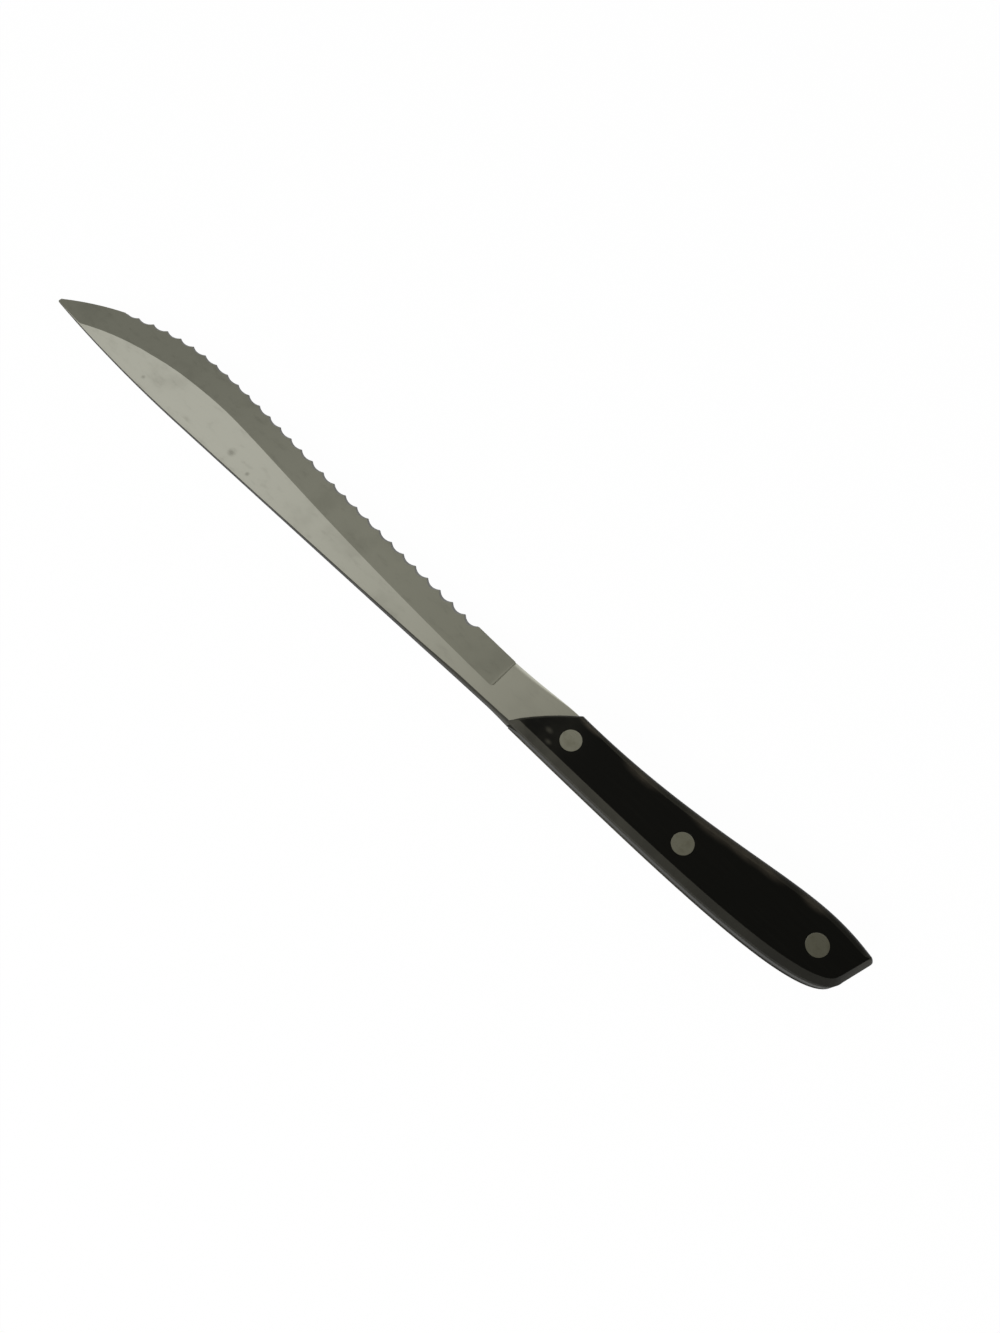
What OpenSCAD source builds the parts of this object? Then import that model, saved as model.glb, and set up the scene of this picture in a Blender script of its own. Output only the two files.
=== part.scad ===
// Steak knife: a recurved, scalloped blade with a full tang between two riveted handle scales.
// It lies on its left scale, with +X to the point, +Y to the spine and +Z to the right scale.
// Outlines are drawn round the middle of the handle's front, on the straight line of the spine.

/* [Blade] */
// Length from the middle of the handle's front to the point
blade_len = 155.6; // [140:0.1:170]
// Width at the heel, from the spine to the edge
heel_w = 10.86; // [9.5:0.02:12.5]
// Width at the belly, from the straight line of the spine to the edge
belly_w = 16.66; // [14:0.02:20]
// Distance of the belly's widest place behind the point
belly_back = 39.7; // [34:0.1:48]
// Fall of the spine at the point
point_drop = 2.5; // [1.5:0.1:5]
// Length over which the spine falls
point_drop_len = 46.5; // [35:0.5:65]
// Height of the blunt nose of the point
point_nose = 0.8; // [0.3:0.05:1.2]
// Thickness of the tang, the ricasso and the heel
steel_t = 2; // [1.6:0.1:3]
// Thickness that the blade tapers to at the point
point_t = 0.9; // [0.7:0.05:1.5]
// Thickness left at the cutting edge
edge_t = 0.3; // [0.2:0.05:0.5]

/* [Ricasso and grind] */
// Length of the ricasso, from the middle of the handle's front
ricasso_len = 12.9; // [9:0.1:18]
// Width of the ricasso where it meets the grind
ricasso_w = 10.56; // [9:0.02:12]
// Width of the eased lower corners of the ricasso
ricasso_ease_w = 0.9; // [0.3:0.05:1.5]
// Height of those eased corners
ricasso_ease_h = 0.5; // [0.2:0.05:0.7]
// Length over which the grind runs out into the ricasso
plunge_len = 0.8; // [0.5:0.1:4]
// Width of the ground bevel at the heel
heel_bevel = 7.5; // [5:0.05:9]
// Width of the ground bevel at its narrowest, behind the belly
waist_bevel = 6.75; // [4:0.05:9]
// Width of the ground bevel at its widest, ahead of the belly
full_bevel = 7.8; // [5:0.1:10]
// Width of the ground bevel that it narrows to at the point
point_bevel = 6.8; // [5:0.1:9]

/* [Serration] */
// Distance from tooth to tooth
tooth_pitch = 3.9; // [2.5:0.05:6]
// Depth of a scallop between two teeth
tooth_depth = 0.62; // [0.3:0.02:0.9]
// Flat left on the tip of a tooth
tooth_land = 0.2; // [0.1:0.05:0.6]
// Plain edge between the grind's start and the first tooth
plain_heel = 10.85; // [3:0.05:20]
// Distance from the last full tooth to the point
plain_point = 17.7; // [10:0.1:28]
// Lean of the scallop grind, in degrees from square to the blade
scallop_lean = 50; // [20:1:55]

/* [Handle] */
// Length from the middle of the front to the butt's lower corner, before that is rounded
handle_len = 75.5; // [68:0.1:95]
// Width at the front
front_w = 10.78; // [9.5:0.02:12.5]
// Slant of the front, in degrees from square to the spine
front_slant = 43.4; // [30:0.1:50]
// Bow of the front towards the point
front_bow = 0.5; // [0.2:0.05:1]
// Rise of the handle's back above the line of the spine
back_rise = 0.87; // [0.3:0.01:2]
// Distance of the back's highest place behind the front
crown_back = 35.4; // [28:0.1:42]
// Depth of the swell ahead of the butt, below the line of the spine
swell_w = 14.35; // [13.2:0.05:18]
// Distance of the swell's deepest place ahead of the butt
swell_ahead = 11.9; // [8:0.1:16]
// Depth of the butt's lower corner below the line of the spine
butt_low = 12.72; // [11:0.02:14]
// Depth at which the butt's upper corner has rounded off
butt_high = 5.8; // [4:0.1:7]
// Slant of the butt, in degrees from square to the spine
butt_slant = 17; // [5:0.5:25]
// Size of the rounding of the butt's lower corner
butt_round = 0.6; // [0.3:0.1:1.2]
// Thickness of one scale
scale_t = 3; // [2.2:0.1:5]
// Width of the rounding along the lower side of a scale
round_w = 1.65; // [0.8:0.05:2.2]
// Width of the flat chamfer along the back of a scale
chamfer_w = 1.3; // [0.6:0.05:2]
// Width of the flat chamfer along the butt of a scale
butt_chamfer_w = 1.1; // [0.6:0.05:1.6]
// Height of the rounding and the chamfers
round_h = 1.5; // [0.6:0.05:2]
// Width of the rounding along the front of a scale
front_round_w = 0.4; // [0.2:0.05:0.8]

/* [Rivets] */
// Diameter of a rivet head
head_d = 4.5; // [3.8:0.1:6]
// Thickness of a rivet head, set flush in the scale
head_t = 1; // [0.6:0.1:1.6]
// Outer diameter of the tubular half of a rivet
sleeve_d = 3.2; // [2.6:0.1:3.6]
// Diameter of the solid half's shank
pin_d = 2.3; // [1.4:0.1:2.4]
// Distance of the front rivet behind the middle of the front
front_rivet_back = 6.9; // [5:0.1:9]
// Distance of the rear rivet ahead of the butt's lower corner
rear_rivet_ahead = 9.65; // [8:0.05:14]
// Clearance between a rivet and the wall of its hole
rivet_fit = 0.03; // [0.02:0.01:0.1]
// Room left at the end of each rivet half
rivet_end_gap = 0.3; // [0.1:0.05:0.8]

/* [Hidden] */
$fn = 64;
// Overrun of every cut past the face that it leaves
overrun = 1;

// Places of the two inner control points of each outline curve, as shares of its run and its rise
back_fore_shares = [[0.36, 0.52], [0.75, 1]];
back_aft_shares = [[0.55, 0], [0.98, 0.13]];
edge_fore_shares = [[0.47, -0.36], [0.79, 1]];
edge_aft_shares = [[0.39, 0], [0.74, 0.43]];
ricasso_shares = [[0.25, -1], [0.5, 1]];
recurve_shares = [[0.69, 0.43], [0.745, 1]];
belly_shares = [[0.3, 0], [0.68, 0.3]];
// Where the bevel is narrowest between heel and belly, and full again between belly and point
bevel_waist_share = 0.84;
bevel_full_share = 0.29;
// How much of the bevel's width is there at the first touch of the grind
plunge_start_share = 0.88;
// How close to the spine the grind line comes near the point
grind_limit_share = 0.96;
// Share of the handle's lower rail over which the rounding grows to its full width
round_growth_share = 0.4;
// How far the lower side keeps clear of the butt's lower corner, as shares of the chamfer and the rounding
corner_clear_shares = [1.3, 0.4];
// Share of that corner's rounding that is left where it meets the face
inner_corner_share = 0.25;
// Depth of the scallops along the serrated run, as shares of the run and of the named depth
depth_shares = [
    [0, 1.4], [0.12, 1.3], [0.22, 1.03], [0.5, 1], [0.65, 0.88], [0.77, 0.7], [0.86, 1.05], [1, 1.05]
];
// Width of the last, narrow scallop by the point, as a share of the others
end_scallop_share = 0.72;
// Sine of the turn below which two edges of a scale count as one straight run
straight_share = 0.2;
// Place of the middle rivet between the other two, and of each rivet across the handle
middle_rivet_share = 0.493;
rivet_width_shares = [0.5, 0.448, 0.49];

// Numbers of steps along each curve
front_steps = 2;
back_steps = [8, 26];
edge_steps = [20, 9];
corner_steps = 4;
ricasso_steps = 8;
plunge_steps = 6;
recurve_steps = 36;
belly_steps = 22;
round_steps = 4;

// Corners and turning places of the outline
front_run = front_w * tan(front_slant) / 2;
front_back = [front_run, 0];
front_edge = [-front_run, -front_w];
crown = [-crown_back, back_rise];
butt_edge = [-handle_len, -butt_low];
butt_back = butt_edge + (butt_low - butt_high) * [tan(butt_slant), 1];
swell = [swell_ahead - handle_len, -swell_w];
ricasso_end = [ricasso_len, -ricasso_w];
heel = [ricasso_len + plunge_len, -heel_w];
belly = [blade_len - belly_back, -belly_w];
point = [blade_len, -point_drop - point_nose];

// Curves of the outline, each from front to end
back_fore = curve(front_back, crown, back_fore_shares);
back_aft = curve(crown, butt_back, back_aft_shares);
edge_fore = curve(front_edge, swell, edge_fore_shares);
edge_aft = curve(swell, butt_edge, edge_aft_shares);
ricasso_edge = curve(front_edge, ricasso_end, ricasso_shares);
recurve = curve(heel, belly, recurve_shares);
belly_curve = curve(belly, point, belly_shares);

// Rounded lower corner of the butt, and how far along its curve the lower side goes before it
corner_clear = corner_clear_shares * [butt_chamfer_w, butt_round];
edge_reach = 1 - corner_clear / (3 * norm(edge_aft[3] - edge_aft[2]));
corner_before = bezier(edge_aft, edge_reach);
butt_corner = [
    for (i = [0:corner_steps])
        let (
            t = i / corner_steps,
            from = butt_edge + butt_round * unit(corner_before - butt_edge),
            to = butt_edge + butt_round * unit(butt_back - butt_edge)
        )
        mix(mix(from, butt_edge, t), mix(butt_edge, to, t), t)
];

// Rails of the handle, from the bowed front's middle along the back and along the lower side
back_rail = concat(front_half(front_back), along(back_fore, back_steps[0]), along(back_aft, back_steps[1]));
edge_rail = concat(
    front_half(front_edge), along(edge_fore, edge_steps[0]),
    along(edge_aft, edge_steps[1], edge_reach), butt_corner
);
rail_end = len(back_rail) - 1;
ring_size = 2 * rail_end + 1;

// Teeth: as many whole scallops as the serrated run takes, and a narrow one ahead of them
serrated_from = heel.x + plain_heel;
serrated_run = blade_len - plain_point - serrated_from;
scallop_count = round(serrated_run / tooth_pitch);
scallop_step = serrated_run / scallop_count;

// Rivets: places on the handle, and lengths between the two heads
front_rivet_x = -front_rivet_back;
rear_rivet_x = rear_rivet_ahead - handle_len;
middle_rivet_x = front_rivet_x + (rear_rivet_x - front_rivet_x) * middle_rivet_share;
rivet_places = [
    for (i = [0:2]) across_handle([front_rivet_x, middle_rivet_x, rear_rivet_x][i], rivet_width_shares[i])
];
face_z = steel_t / 2 + scale_t;
head_z = face_z - head_t;
half_len = 2 * head_z - rivet_end_gap;
sleeve_bore_d = pin_d + 2 * rivet_fit;

// Moves the drawing's origin to the middle of the box's underside
butt_reach = -min([for (p = edge_rail) p.x]);
stand = [(butt_reach - blade_len) / 2, (belly_w - back_rise) / 2, face_z];

// Cubic curve from a to b
function curve(a, b, shares) = [
    a,
    for (s = shares) a + [(b.x - a.x) * s.x, (b.y - a.y) * s.y],
    b
];
function bezier(p, t) =
    let (u = 1 - t)
    u * u * u * p[0] + 3 * u * u * t * p[1] + 3 * u * t * t * p[2] + t * t * t * p[3];
function along(p, steps, reach = 1) = [for (i = [1:steps]) bezier(p, reach * i / steps)];

// Height of a curve at x, by halving the stretch that holds it
function y_at(p, x, low = 0, high = 1, halvings = 24) =
    let (t = (low + high) / 2, q = bezier(p, t))
    halvings == 0 ? q.y
    : (q.x < x) == (p[0].x < p[3].x) ? y_at(p, x, t, high, halvings - 1)
    : y_at(p, x, low, t, halvings - 1);

function mix(a, b, t) = a + (b - a) * t;
function unit(v) = v / norm(v);
function ease(t) = let (u = min(1, max(0, t))) u * u * (3 - 2 * u);

// Half of the bowed front, from its middle to one corner
function front_half(corner) = [
    for (i = [0:front_steps])
        let (t = i / front_steps)
        mix((front_back + front_edge) / 2, corner, t)
            + front_bow * (1 - t * t) * [cos(front_slant), -sin(front_slant)]
];

// Upper and lower side of the handle at x, and a place across it
function handle_back_y(x) = y_at(x > crown.x ? back_fore : back_aft, x);
function handle_edge_y(x) = y_at(x > swell.x ? edge_fore : edge_aft, x);
function across_handle(x, share) = [x, mix(handle_back_y(x), handle_edge_y(x), share)];

// Spine, edge and bevel of the blade at x
function spine_y(x) = -point_drop * pow(max(0, 1 - (blade_len - x) / point_drop_len), 2);
function edge_y(x) = y_at(x < belly.x ? recurve : belly_curve, x);
function bevel_w(x) =
    let (
        waist_x = mix(heel.x, belly.x, bevel_waist_share),
        full_x = mix(belly.x, point.x, bevel_full_share)
    )
    x < waist_x ? mix(heel_bevel, waist_bevel, ease((x - heel.x) / (waist_x - heel.x)))
    : x < full_x ? mix(waist_bevel, full_bevel, ease((x - waist_x) / (full_x - waist_x)))
    : mix(full_bevel, point_bevel, (x - full_x) / (point.x - full_x));
function taper(x) = mix(steel_t, point_t, (x - heel.x) / (blade_len - heel.x)) / 2;

// One cross-section of the steel: back, grind line, cheek and edge, with their half thicknesses.
// The cheek is where the eased corner of the ricasso begins, and the middle of the bevel.
function section(back, edge, shares, half) =
    let (
        flat = concat([back], [for (s = shares) mix(edge, back, s)], [edge]),
        last = len(flat) - 1
    )
    concat(
        [for (i = [0:last]) [flat[i].x, flat[i].y, half[i]]],
        [for (i = [last:-1:0]) [flat[i].x, flat[i].y, -half[i]]]
    );
function flat_section(back, edge, eased = 0) =
    let (shares = [plunge_start_share * heel_bevel / heel_w, ricasso_ease_w / norm(back - edge)])
    section(back, edge, shares, flat_halves(eased));
function flat_halves(eased) = [steel_t, steel_t, steel_t, steel_t - 2 * ricasso_ease_h * eased] / 2;
function plunge_section(t) =
    let (
        x = mix(ricasso_len, heel.x, t),
        depth = t * (2 - t),
        edge = [x, -mix(ricasso_w, heel_w, ease(t))],
        grind_share = heel_bevel / heel_w * mix(plunge_start_share, 1, sqrt(depth)),
        cheek_share = mix(ricasso_ease_w / ricasso_w, grind_share / 2, depth)
    )
    section(
        [x, 0], edge, [grind_share, cheek_share],
        mix(flat_halves(1), [steel_t, steel_t, (steel_t + edge_t) / 2, edge_t] / 2, depth)
    );
function ground_section(edge) =
    let (
        back = [edge.x, spine_y(edge.x)],
        width = back.y - edge.y,
        bevel = bevel_w(edge.x),
        grind = min(bevel, grind_limit_share * width),
        slope = (taper(edge.x) - edge_t / 2) / bevel
    )
    section(
        back, edge, [grind, grind / 2] / width,
        [for (reach = [min(bevel, width), grind, grind / 2, 0]) edge_t / 2 + slope * reach]
    );

// Solid skin over a row of closed rings, with the same triangles on both end rings
module skin(rings, cap) {
    size = len(rings[0]);
    last = (len(rings) - 1) * size;
    polyhedron(
        points = [for (ring = rings) each ring],
        faces = [
            for (r = [0:size:last - size], i = [0:size - 1])
                let (a = r + i, b = r + (i + 1) % size)
                each [[a, b, b + size], [a, b + size, a + size]],
            for (t = cap) [t[2], t[1], t[0]],
            for (t = cap) t + [last, last, last]
        ]
    );
}

module steel_body() {
    handle_sections = [
        for (i = [rail_end:-1:front_steps + 1]) flat_section(back_rail[i], edge_rail[i])
    ];
    ricasso_sections = [
        for (i = [0:ricasso_steps - 1])
            let (t = i / ricasso_steps)
            flat_section(mix(front_back, [ricasso_len, 0], t), bezier(ricasso_edge, t), ease(t))
    ];
    plunge_sections = [for (i = [0:plunge_steps]) plunge_section(i / plunge_steps)];
    ground_sections = [
        for (p = concat(along(recurve, recurve_steps), along(belly_curve, belly_steps))) ground_section(p)
    ];
    skin(
        concat(handle_sections, ricasso_sections, plunge_sections, ground_sections),
        [[0, 1, 6], [0, 6, 7], [1, 2, 5], [1, 5, 6], [2, 3, 4], [2, 4, 5]]
    );
}

// One scallop, ground by a round wheel that leans over the right face
module scallop(x, width_share = 1) {
    from = [x, edge_y(x)];
    to = [x + width_share * scallop_step, edge_y(x + width_share * scallop_step)];
    chord = norm(to - from) - tooth_land;
    depth_share = lookup((x - serrated_from) / serrated_run, depth_shares) * width_share * width_share;
    depth = tooth_depth * depth_share * cos(scallop_lean);
    radius = (chord * chord / 4 + depth * depth) / (2 * depth);
    reach = radius * tan(scallop_lean) + steel_t / cos(scallop_lean);
    middle = (from + to) / 2;
    translate([middle.x, middle.y, -edge_t / 2])
        rotate(atan2(to.y - from.y, to.x - from.x))
            translate([0, (depth - radius) / cos(scallop_lean), 0])
                rotate([-scallop_lean, 0, 0])
                    cylinder(r = radius, h = 2 * reach, center = true);
}

// Blade, ricasso and tang: one piece of steel, drilled for the rivets
module blade() {
    color([0.66, 0.66, 0.61])
        translate(stand)
            difference() {
                steel_body();
                for (i = [0:scallop_count])
                    scallop(serrated_from + i * scallop_step, i < scallop_count ? 1 : end_scallop_share);
                for (place = rivet_places)
                    translate(place)
                        cylinder(d = sleeve_d + 2 * rivet_fit, h = steel_t + 2 * overrun, center = true);
            }
}

// Outline of a scale, and the width of its chamfer or rounding beside each of the outline's edges
outline = concat(back_rail, [for (i = [rail_end:-1:1]) edge_rail[i]]);
round_widths = [
    for (i = [0:ring_size - 1])
        let (side = i < rail_end ? i : ring_size - 1 - i)
        side < front_steps ? front_round_w
        : i < rail_end ? chamfer_w
        : i == rail_end ? butt_chamfer_w
        : mix(front_round_w, round_w, ease((side - front_steps) / (rail_end * round_growth_share)))
];

// Inward step of corner i when each edge moves in by its chamfer or rounding.
// The butt's rounded corner shrinks towards the sharp corner where its two sides meet on the face.
function inset(i) =
    let (before = (i + ring_size - 1) % ring_size, after = (i + 1) % ring_size)
    i > rail_end && i <= rail_end + 1 + corner_steps
    ? (1 - inner_corner_share) * (butt_edge - outline[i])
        + mitre(butt_back, butt_edge, corner_before, butt_chamfer_w, round_w)
    : mitre(outline[before], outline[i], outline[after], round_widths[before], round_widths[i]);
function mitre(before, corner, after, w1, w2) =
    let (
        n1 = inward(before, corner),
        n2 = inward(corner, after),
        turn = n1.x * n2.y - n1.y * n2.x
    )
    abs(turn) < straight_share
    ? (n1 + n2) * (w1 + w2) / 4
    : [w1 * n2.y - w2 * n1.y, w2 * n1.x - w1 * n2.x] / turn;
function inward(a, b) = let (d = unit(b - a)) [-d.y, d.x];

insets = [for (i = [0:ring_size - 1]) inset(i)];
// How far each corner is chamfered: half at the front's upper corner, fading round the butt's lower one
chamfered = [
    for (i = [0:ring_size - 1])
        max(0, min((i - front_steps + 1) / 2, 1, (rail_end + 1 + corner_steps - i) / corner_steps))
];

// Ring of a scale at an angle up its rounding, where the chamfer goes straight
function scale_level(z, a = 0) = [
    for (i = [0:ring_size - 1])
        let (p = outline[i] + insets[i] * mix(1 - cos(a), sin(a), chamfered[i]))
        [p.x, p.y, z]
];

// Right scale: flat against the tang, chamfered and rounded at the face, counterbored for the heads
module scale_body() {
    wall_z = face_z - round_h;
    levels = concat(
        [scale_level(steel_t / 2)],
        [
            for (i = [0:round_steps])
                let (a = 90 * i / round_steps)
                scale_level(wall_z + round_h * sin(a), a)
        ]
    );
    cap = [
        for (i = [0:rail_end - 1])
            let (far = ring_size - 1 - i, near = (far + 1) % ring_size)
            each (i == 0 ? [[i, i + 1, far]] : [[i, i + 1, far], [i, far, near]])
    ];
    difference() {
        skin(levels, cap);
        for (place = rivet_places)
            translate(place) {
                cylinder(d = sleeve_d + 2 * rivet_fit, h = face_z + overrun);
                translate([0, 0, head_z])
                    cylinder(d = head_d + 2 * rivet_fit, h = head_t + overrun);
            }
    }
}

module right_scale() {
    color([0.09, 0.09, 0.08])
        translate(stand)
            scale_body();
}

module left_scale() {
    color([0.09, 0.09, 0.08])
        translate(stand)
            mirror([0, 0, 1])
                scale_body();
}

// Solid half of a rivet: its head lies in the right scale, its shank in the sleeve
module rivet_pin(place) {
    color([0.45, 0.44, 0.4])
        translate(stand)
            translate([place.x, place.y, head_z]) {
                cylinder(d = head_d, h = head_t);
                translate([0, 0, -half_len])
                    cylinder(d = pin_d, h = half_len + head_t);
            }
}

// Tubular half of a rivet: its head lies in the left scale, its tube runs through the tang
module rivet_sleeve(place) {
    color([0.45, 0.44, 0.4])
        translate(stand)
            translate([place.x, place.y, -face_z])
                difference() {
                    union() {
                        cylinder(d = head_d, h = head_t);
                        cylinder(d = sleeve_d, h = head_t + half_len);
                    }
                    translate([0, 0, head_t])
                        cylinder(d = sleeve_bore_d, h = half_len + overrun);
                }
}

module front_rivet_pin() { rivet_pin(rivet_places[0]); }
module front_rivet_sleeve() { rivet_sleeve(rivet_places[0]); }
module middle_rivet_pin() { rivet_pin(rivet_places[1]); }
module middle_rivet_sleeve() { rivet_sleeve(rivet_places[1]); }
module rear_rivet_pin() { rivet_pin(rivet_places[2]); }
module rear_rivet_sleeve() { rivet_sleeve(rivet_places[2]); }

blade();
right_scale();
left_scale();
front_rivet_pin();
front_rivet_sleeve();
middle_rivet_pin();
middle_rivet_sleeve();
rear_rivet_pin();
rear_rivet_sleeve();
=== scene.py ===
"""Looks of a steak knife: a recurved, scalloped blade with a full tang between two riveted scales.

Outlines are drawn in millimetres round the middle of the handle's front, with x to the point,
y to the spine and z out of the right scale. The frame says where that drawing stands, and every
piece is carried there in metres.
"""

from __future__ import annotations

import logging
import math
from collections.abc import Iterable, Mapping, Sequence
from dataclasses import dataclass
from enum import Enum, IntEnum
from functools import cached_property
from typing import ClassVar

import bmesh
import bpy
from bmesh.types import BMEdge, BMFace, BMVert
from mathutils import Matrix, Vector

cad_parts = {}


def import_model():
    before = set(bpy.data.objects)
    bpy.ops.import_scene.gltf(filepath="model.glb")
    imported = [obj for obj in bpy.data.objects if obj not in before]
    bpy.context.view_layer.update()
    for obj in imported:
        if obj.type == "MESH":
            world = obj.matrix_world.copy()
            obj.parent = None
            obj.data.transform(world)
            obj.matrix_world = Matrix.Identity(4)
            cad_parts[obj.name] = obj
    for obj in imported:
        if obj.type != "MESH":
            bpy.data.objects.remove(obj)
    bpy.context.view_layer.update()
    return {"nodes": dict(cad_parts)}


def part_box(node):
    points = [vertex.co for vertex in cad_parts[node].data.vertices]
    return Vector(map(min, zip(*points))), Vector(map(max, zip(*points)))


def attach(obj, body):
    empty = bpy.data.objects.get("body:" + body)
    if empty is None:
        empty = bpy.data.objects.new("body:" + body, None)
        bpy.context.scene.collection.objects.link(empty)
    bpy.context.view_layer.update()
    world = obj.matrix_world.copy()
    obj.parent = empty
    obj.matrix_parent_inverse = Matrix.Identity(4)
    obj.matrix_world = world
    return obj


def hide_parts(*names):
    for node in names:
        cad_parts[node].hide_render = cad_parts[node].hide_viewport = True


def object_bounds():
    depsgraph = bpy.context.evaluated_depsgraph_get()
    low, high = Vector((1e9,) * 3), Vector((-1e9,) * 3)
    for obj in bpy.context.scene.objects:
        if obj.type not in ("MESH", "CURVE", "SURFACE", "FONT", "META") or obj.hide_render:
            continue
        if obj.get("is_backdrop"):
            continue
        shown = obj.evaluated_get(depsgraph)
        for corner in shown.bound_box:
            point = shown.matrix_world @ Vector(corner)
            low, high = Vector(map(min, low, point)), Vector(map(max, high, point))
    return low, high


LOG = logging.getLogger("steak_knife")
MM = 0.001
BODY = "root"
STRAIGHT = 0.2  # Sine of a turn below which an outline counts as straight.
MEAN = 0.5  # Mean of a noise pattern, and the middle of a tint.

Shares = tuple[tuple[float, float], tuple[float, float]]
Ramp = tuple[float, ...]  # Where a climb starts and ends, and its value at each.
Colour = tuple[float, float, float, float]
WHITE: Colour = (1.0, 1.0, 1.0, 1.0)


class Zone(IntEnum):
    """Kinds of surface on one piece, which its finish tells apart."""

    FACE = 0
    GRIND = 1
    TOOTH = 2
    RIM = 3
    WALL = 4


class Flank(Enum):
    """The two flats of the blade, each with its own handle scale and rivet heads."""

    RIGHT = 1
    LEFT = -1


def mix(a: float, b: float, t: float) -> float:
    """Return the value at share t of the way from a to b."""
    return a + (b - a) * t


def even(steps: int) -> list[float]:
    """Return the shares from 0 to 1 of that many even steps."""
    return [i / steps for i in range(steps + 1)]


def ease(t: float) -> float:
    """Return t held between 0 and 1 and eased at both ends."""
    u = min(1.0, max(0.0, t))
    return u * u * (3 - 2 * u)


def trace(table: Sequence[tuple[float, float]], x: float) -> float:
    """Return the value at x on the line through a table's places, held beyond its ends."""
    for (near, first), (far, second) in zip(table, table[1:]):
        if x <= far:
            return mix(first, second, max(0.0, (x - near) / (far - near)))
    return table[-1][1]


@dataclass(frozen=True)
class Sweep:
    """One cubic stretch of an outline, in millimetres."""

    start: Vector  # Place where the stretch begins.
    end: Vector  # Place where it ends.
    shares: Shares  # Its two inner control points, as shares of its run and its rise.

    def inner(self) -> tuple[Vector, Vector]:
        """Return the two inner control points."""
        span = self.end - self.start
        near, far = (self.start + Vector((span.x * a, span.y * b)) for a, b in self.shares)
        return near, far

    def at(self, t: float) -> Vector:
        """Return the place at share t of the stretch."""
        near, far = self.inner()
        u = 1 - t
        return self.start * u**3 + near * (3 * u * u * t) + far * (3 * u * t * t) + self.end * t**3

    def along(self, steps: int, reach: float = 1.0) -> list[Vector]:
        """Return evenly stepped places up to a share of the stretch, without its start."""
        return [self.at(reach * t) for t in even(steps)[1:]]

    def height(self, x: float, halvings: int = 30) -> float:
        """Return the height of the stretch at x.

        Args:
            x: Place along the knife.
            halvings: How often the stretch that holds x is halved.

        Returns:
            The y of the outline there.
        """
        low, high = 0.0, 1.0
        forward = self.start.x < self.end.x
        for _ in range(halvings):
            middle = (low + high) / 2
            if (self.at(middle).x < x) == forward:
                low = middle
            else:
                high = middle
        return self.at((low + high) / 2).y


class Value:
    """A shader socket that takes part in Python arithmetic."""

    def __init__(self, graph: Graph, socket: bpy.types.NodeSocket) -> None:
        """Hold one output socket of a graph."""
        self.graph = graph
        self.socket = socket

    def math(self, operation: str, *operands: Value | float) -> Value:
        """Add a Math node of that operation, fed by the operands in order."""
        sockets = dict(enumerate(operands))
        return self.graph.node("ShaderNodeMath", {"operation": operation}, sockets)

    def twin(self, output: str) -> Value:
        """Return another output of the same node."""
        return Value(self.graph, self.socket.node.outputs[output])

    def __add__(self, other: Value | float) -> Value:
        """Return the sum."""
        return self.math("ADD", self, other)

    def __radd__(self, other: Value | float) -> Value:
        """Return the sum, with the other value first."""
        return self.math("ADD", other, self)

    def __sub__(self, other: Value | float) -> Value:
        """Return the difference."""
        return self.math("SUBTRACT", self, other)

    def __rsub__(self, other: Value | float) -> Value:
        """Return the difference, with the other value first."""
        return self.math("SUBTRACT", other, self)

    def __mul__(self, other: Value | float) -> Value:
        """Return the product."""
        return self.math("MULTIPLY", self, other)

    def __rmul__(self, other: Value | float) -> Value:
        """Return the product, with the other value first."""
        return self.math("MULTIPLY", other, self)

    def larger(self, other: Value | float) -> Value:
        """Return the larger of the two values."""
        return self.math("MAXIMUM", self, other)

    def near(self, target: float) -> Value:
        """Return 1 where the value is within a half of the target, and 0 elsewhere."""
        return self.math("COMPARE", self, target, 0.5)

    def rise(self, low: float, high: float, bottom: float = 0.0, top: float = 1.0) -> Value:
        """Return a smooth climb from bottom at low to top at high, where low may be the larger."""
        return self.graph.node(
            "ShaderNodeMapRange",
            {"interpolation_type": "SMOOTHSTEP"},
            {"Value": self, "From Min": low, "From Max": high, "To Min": bottom, "To Max": top},
        )


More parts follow.
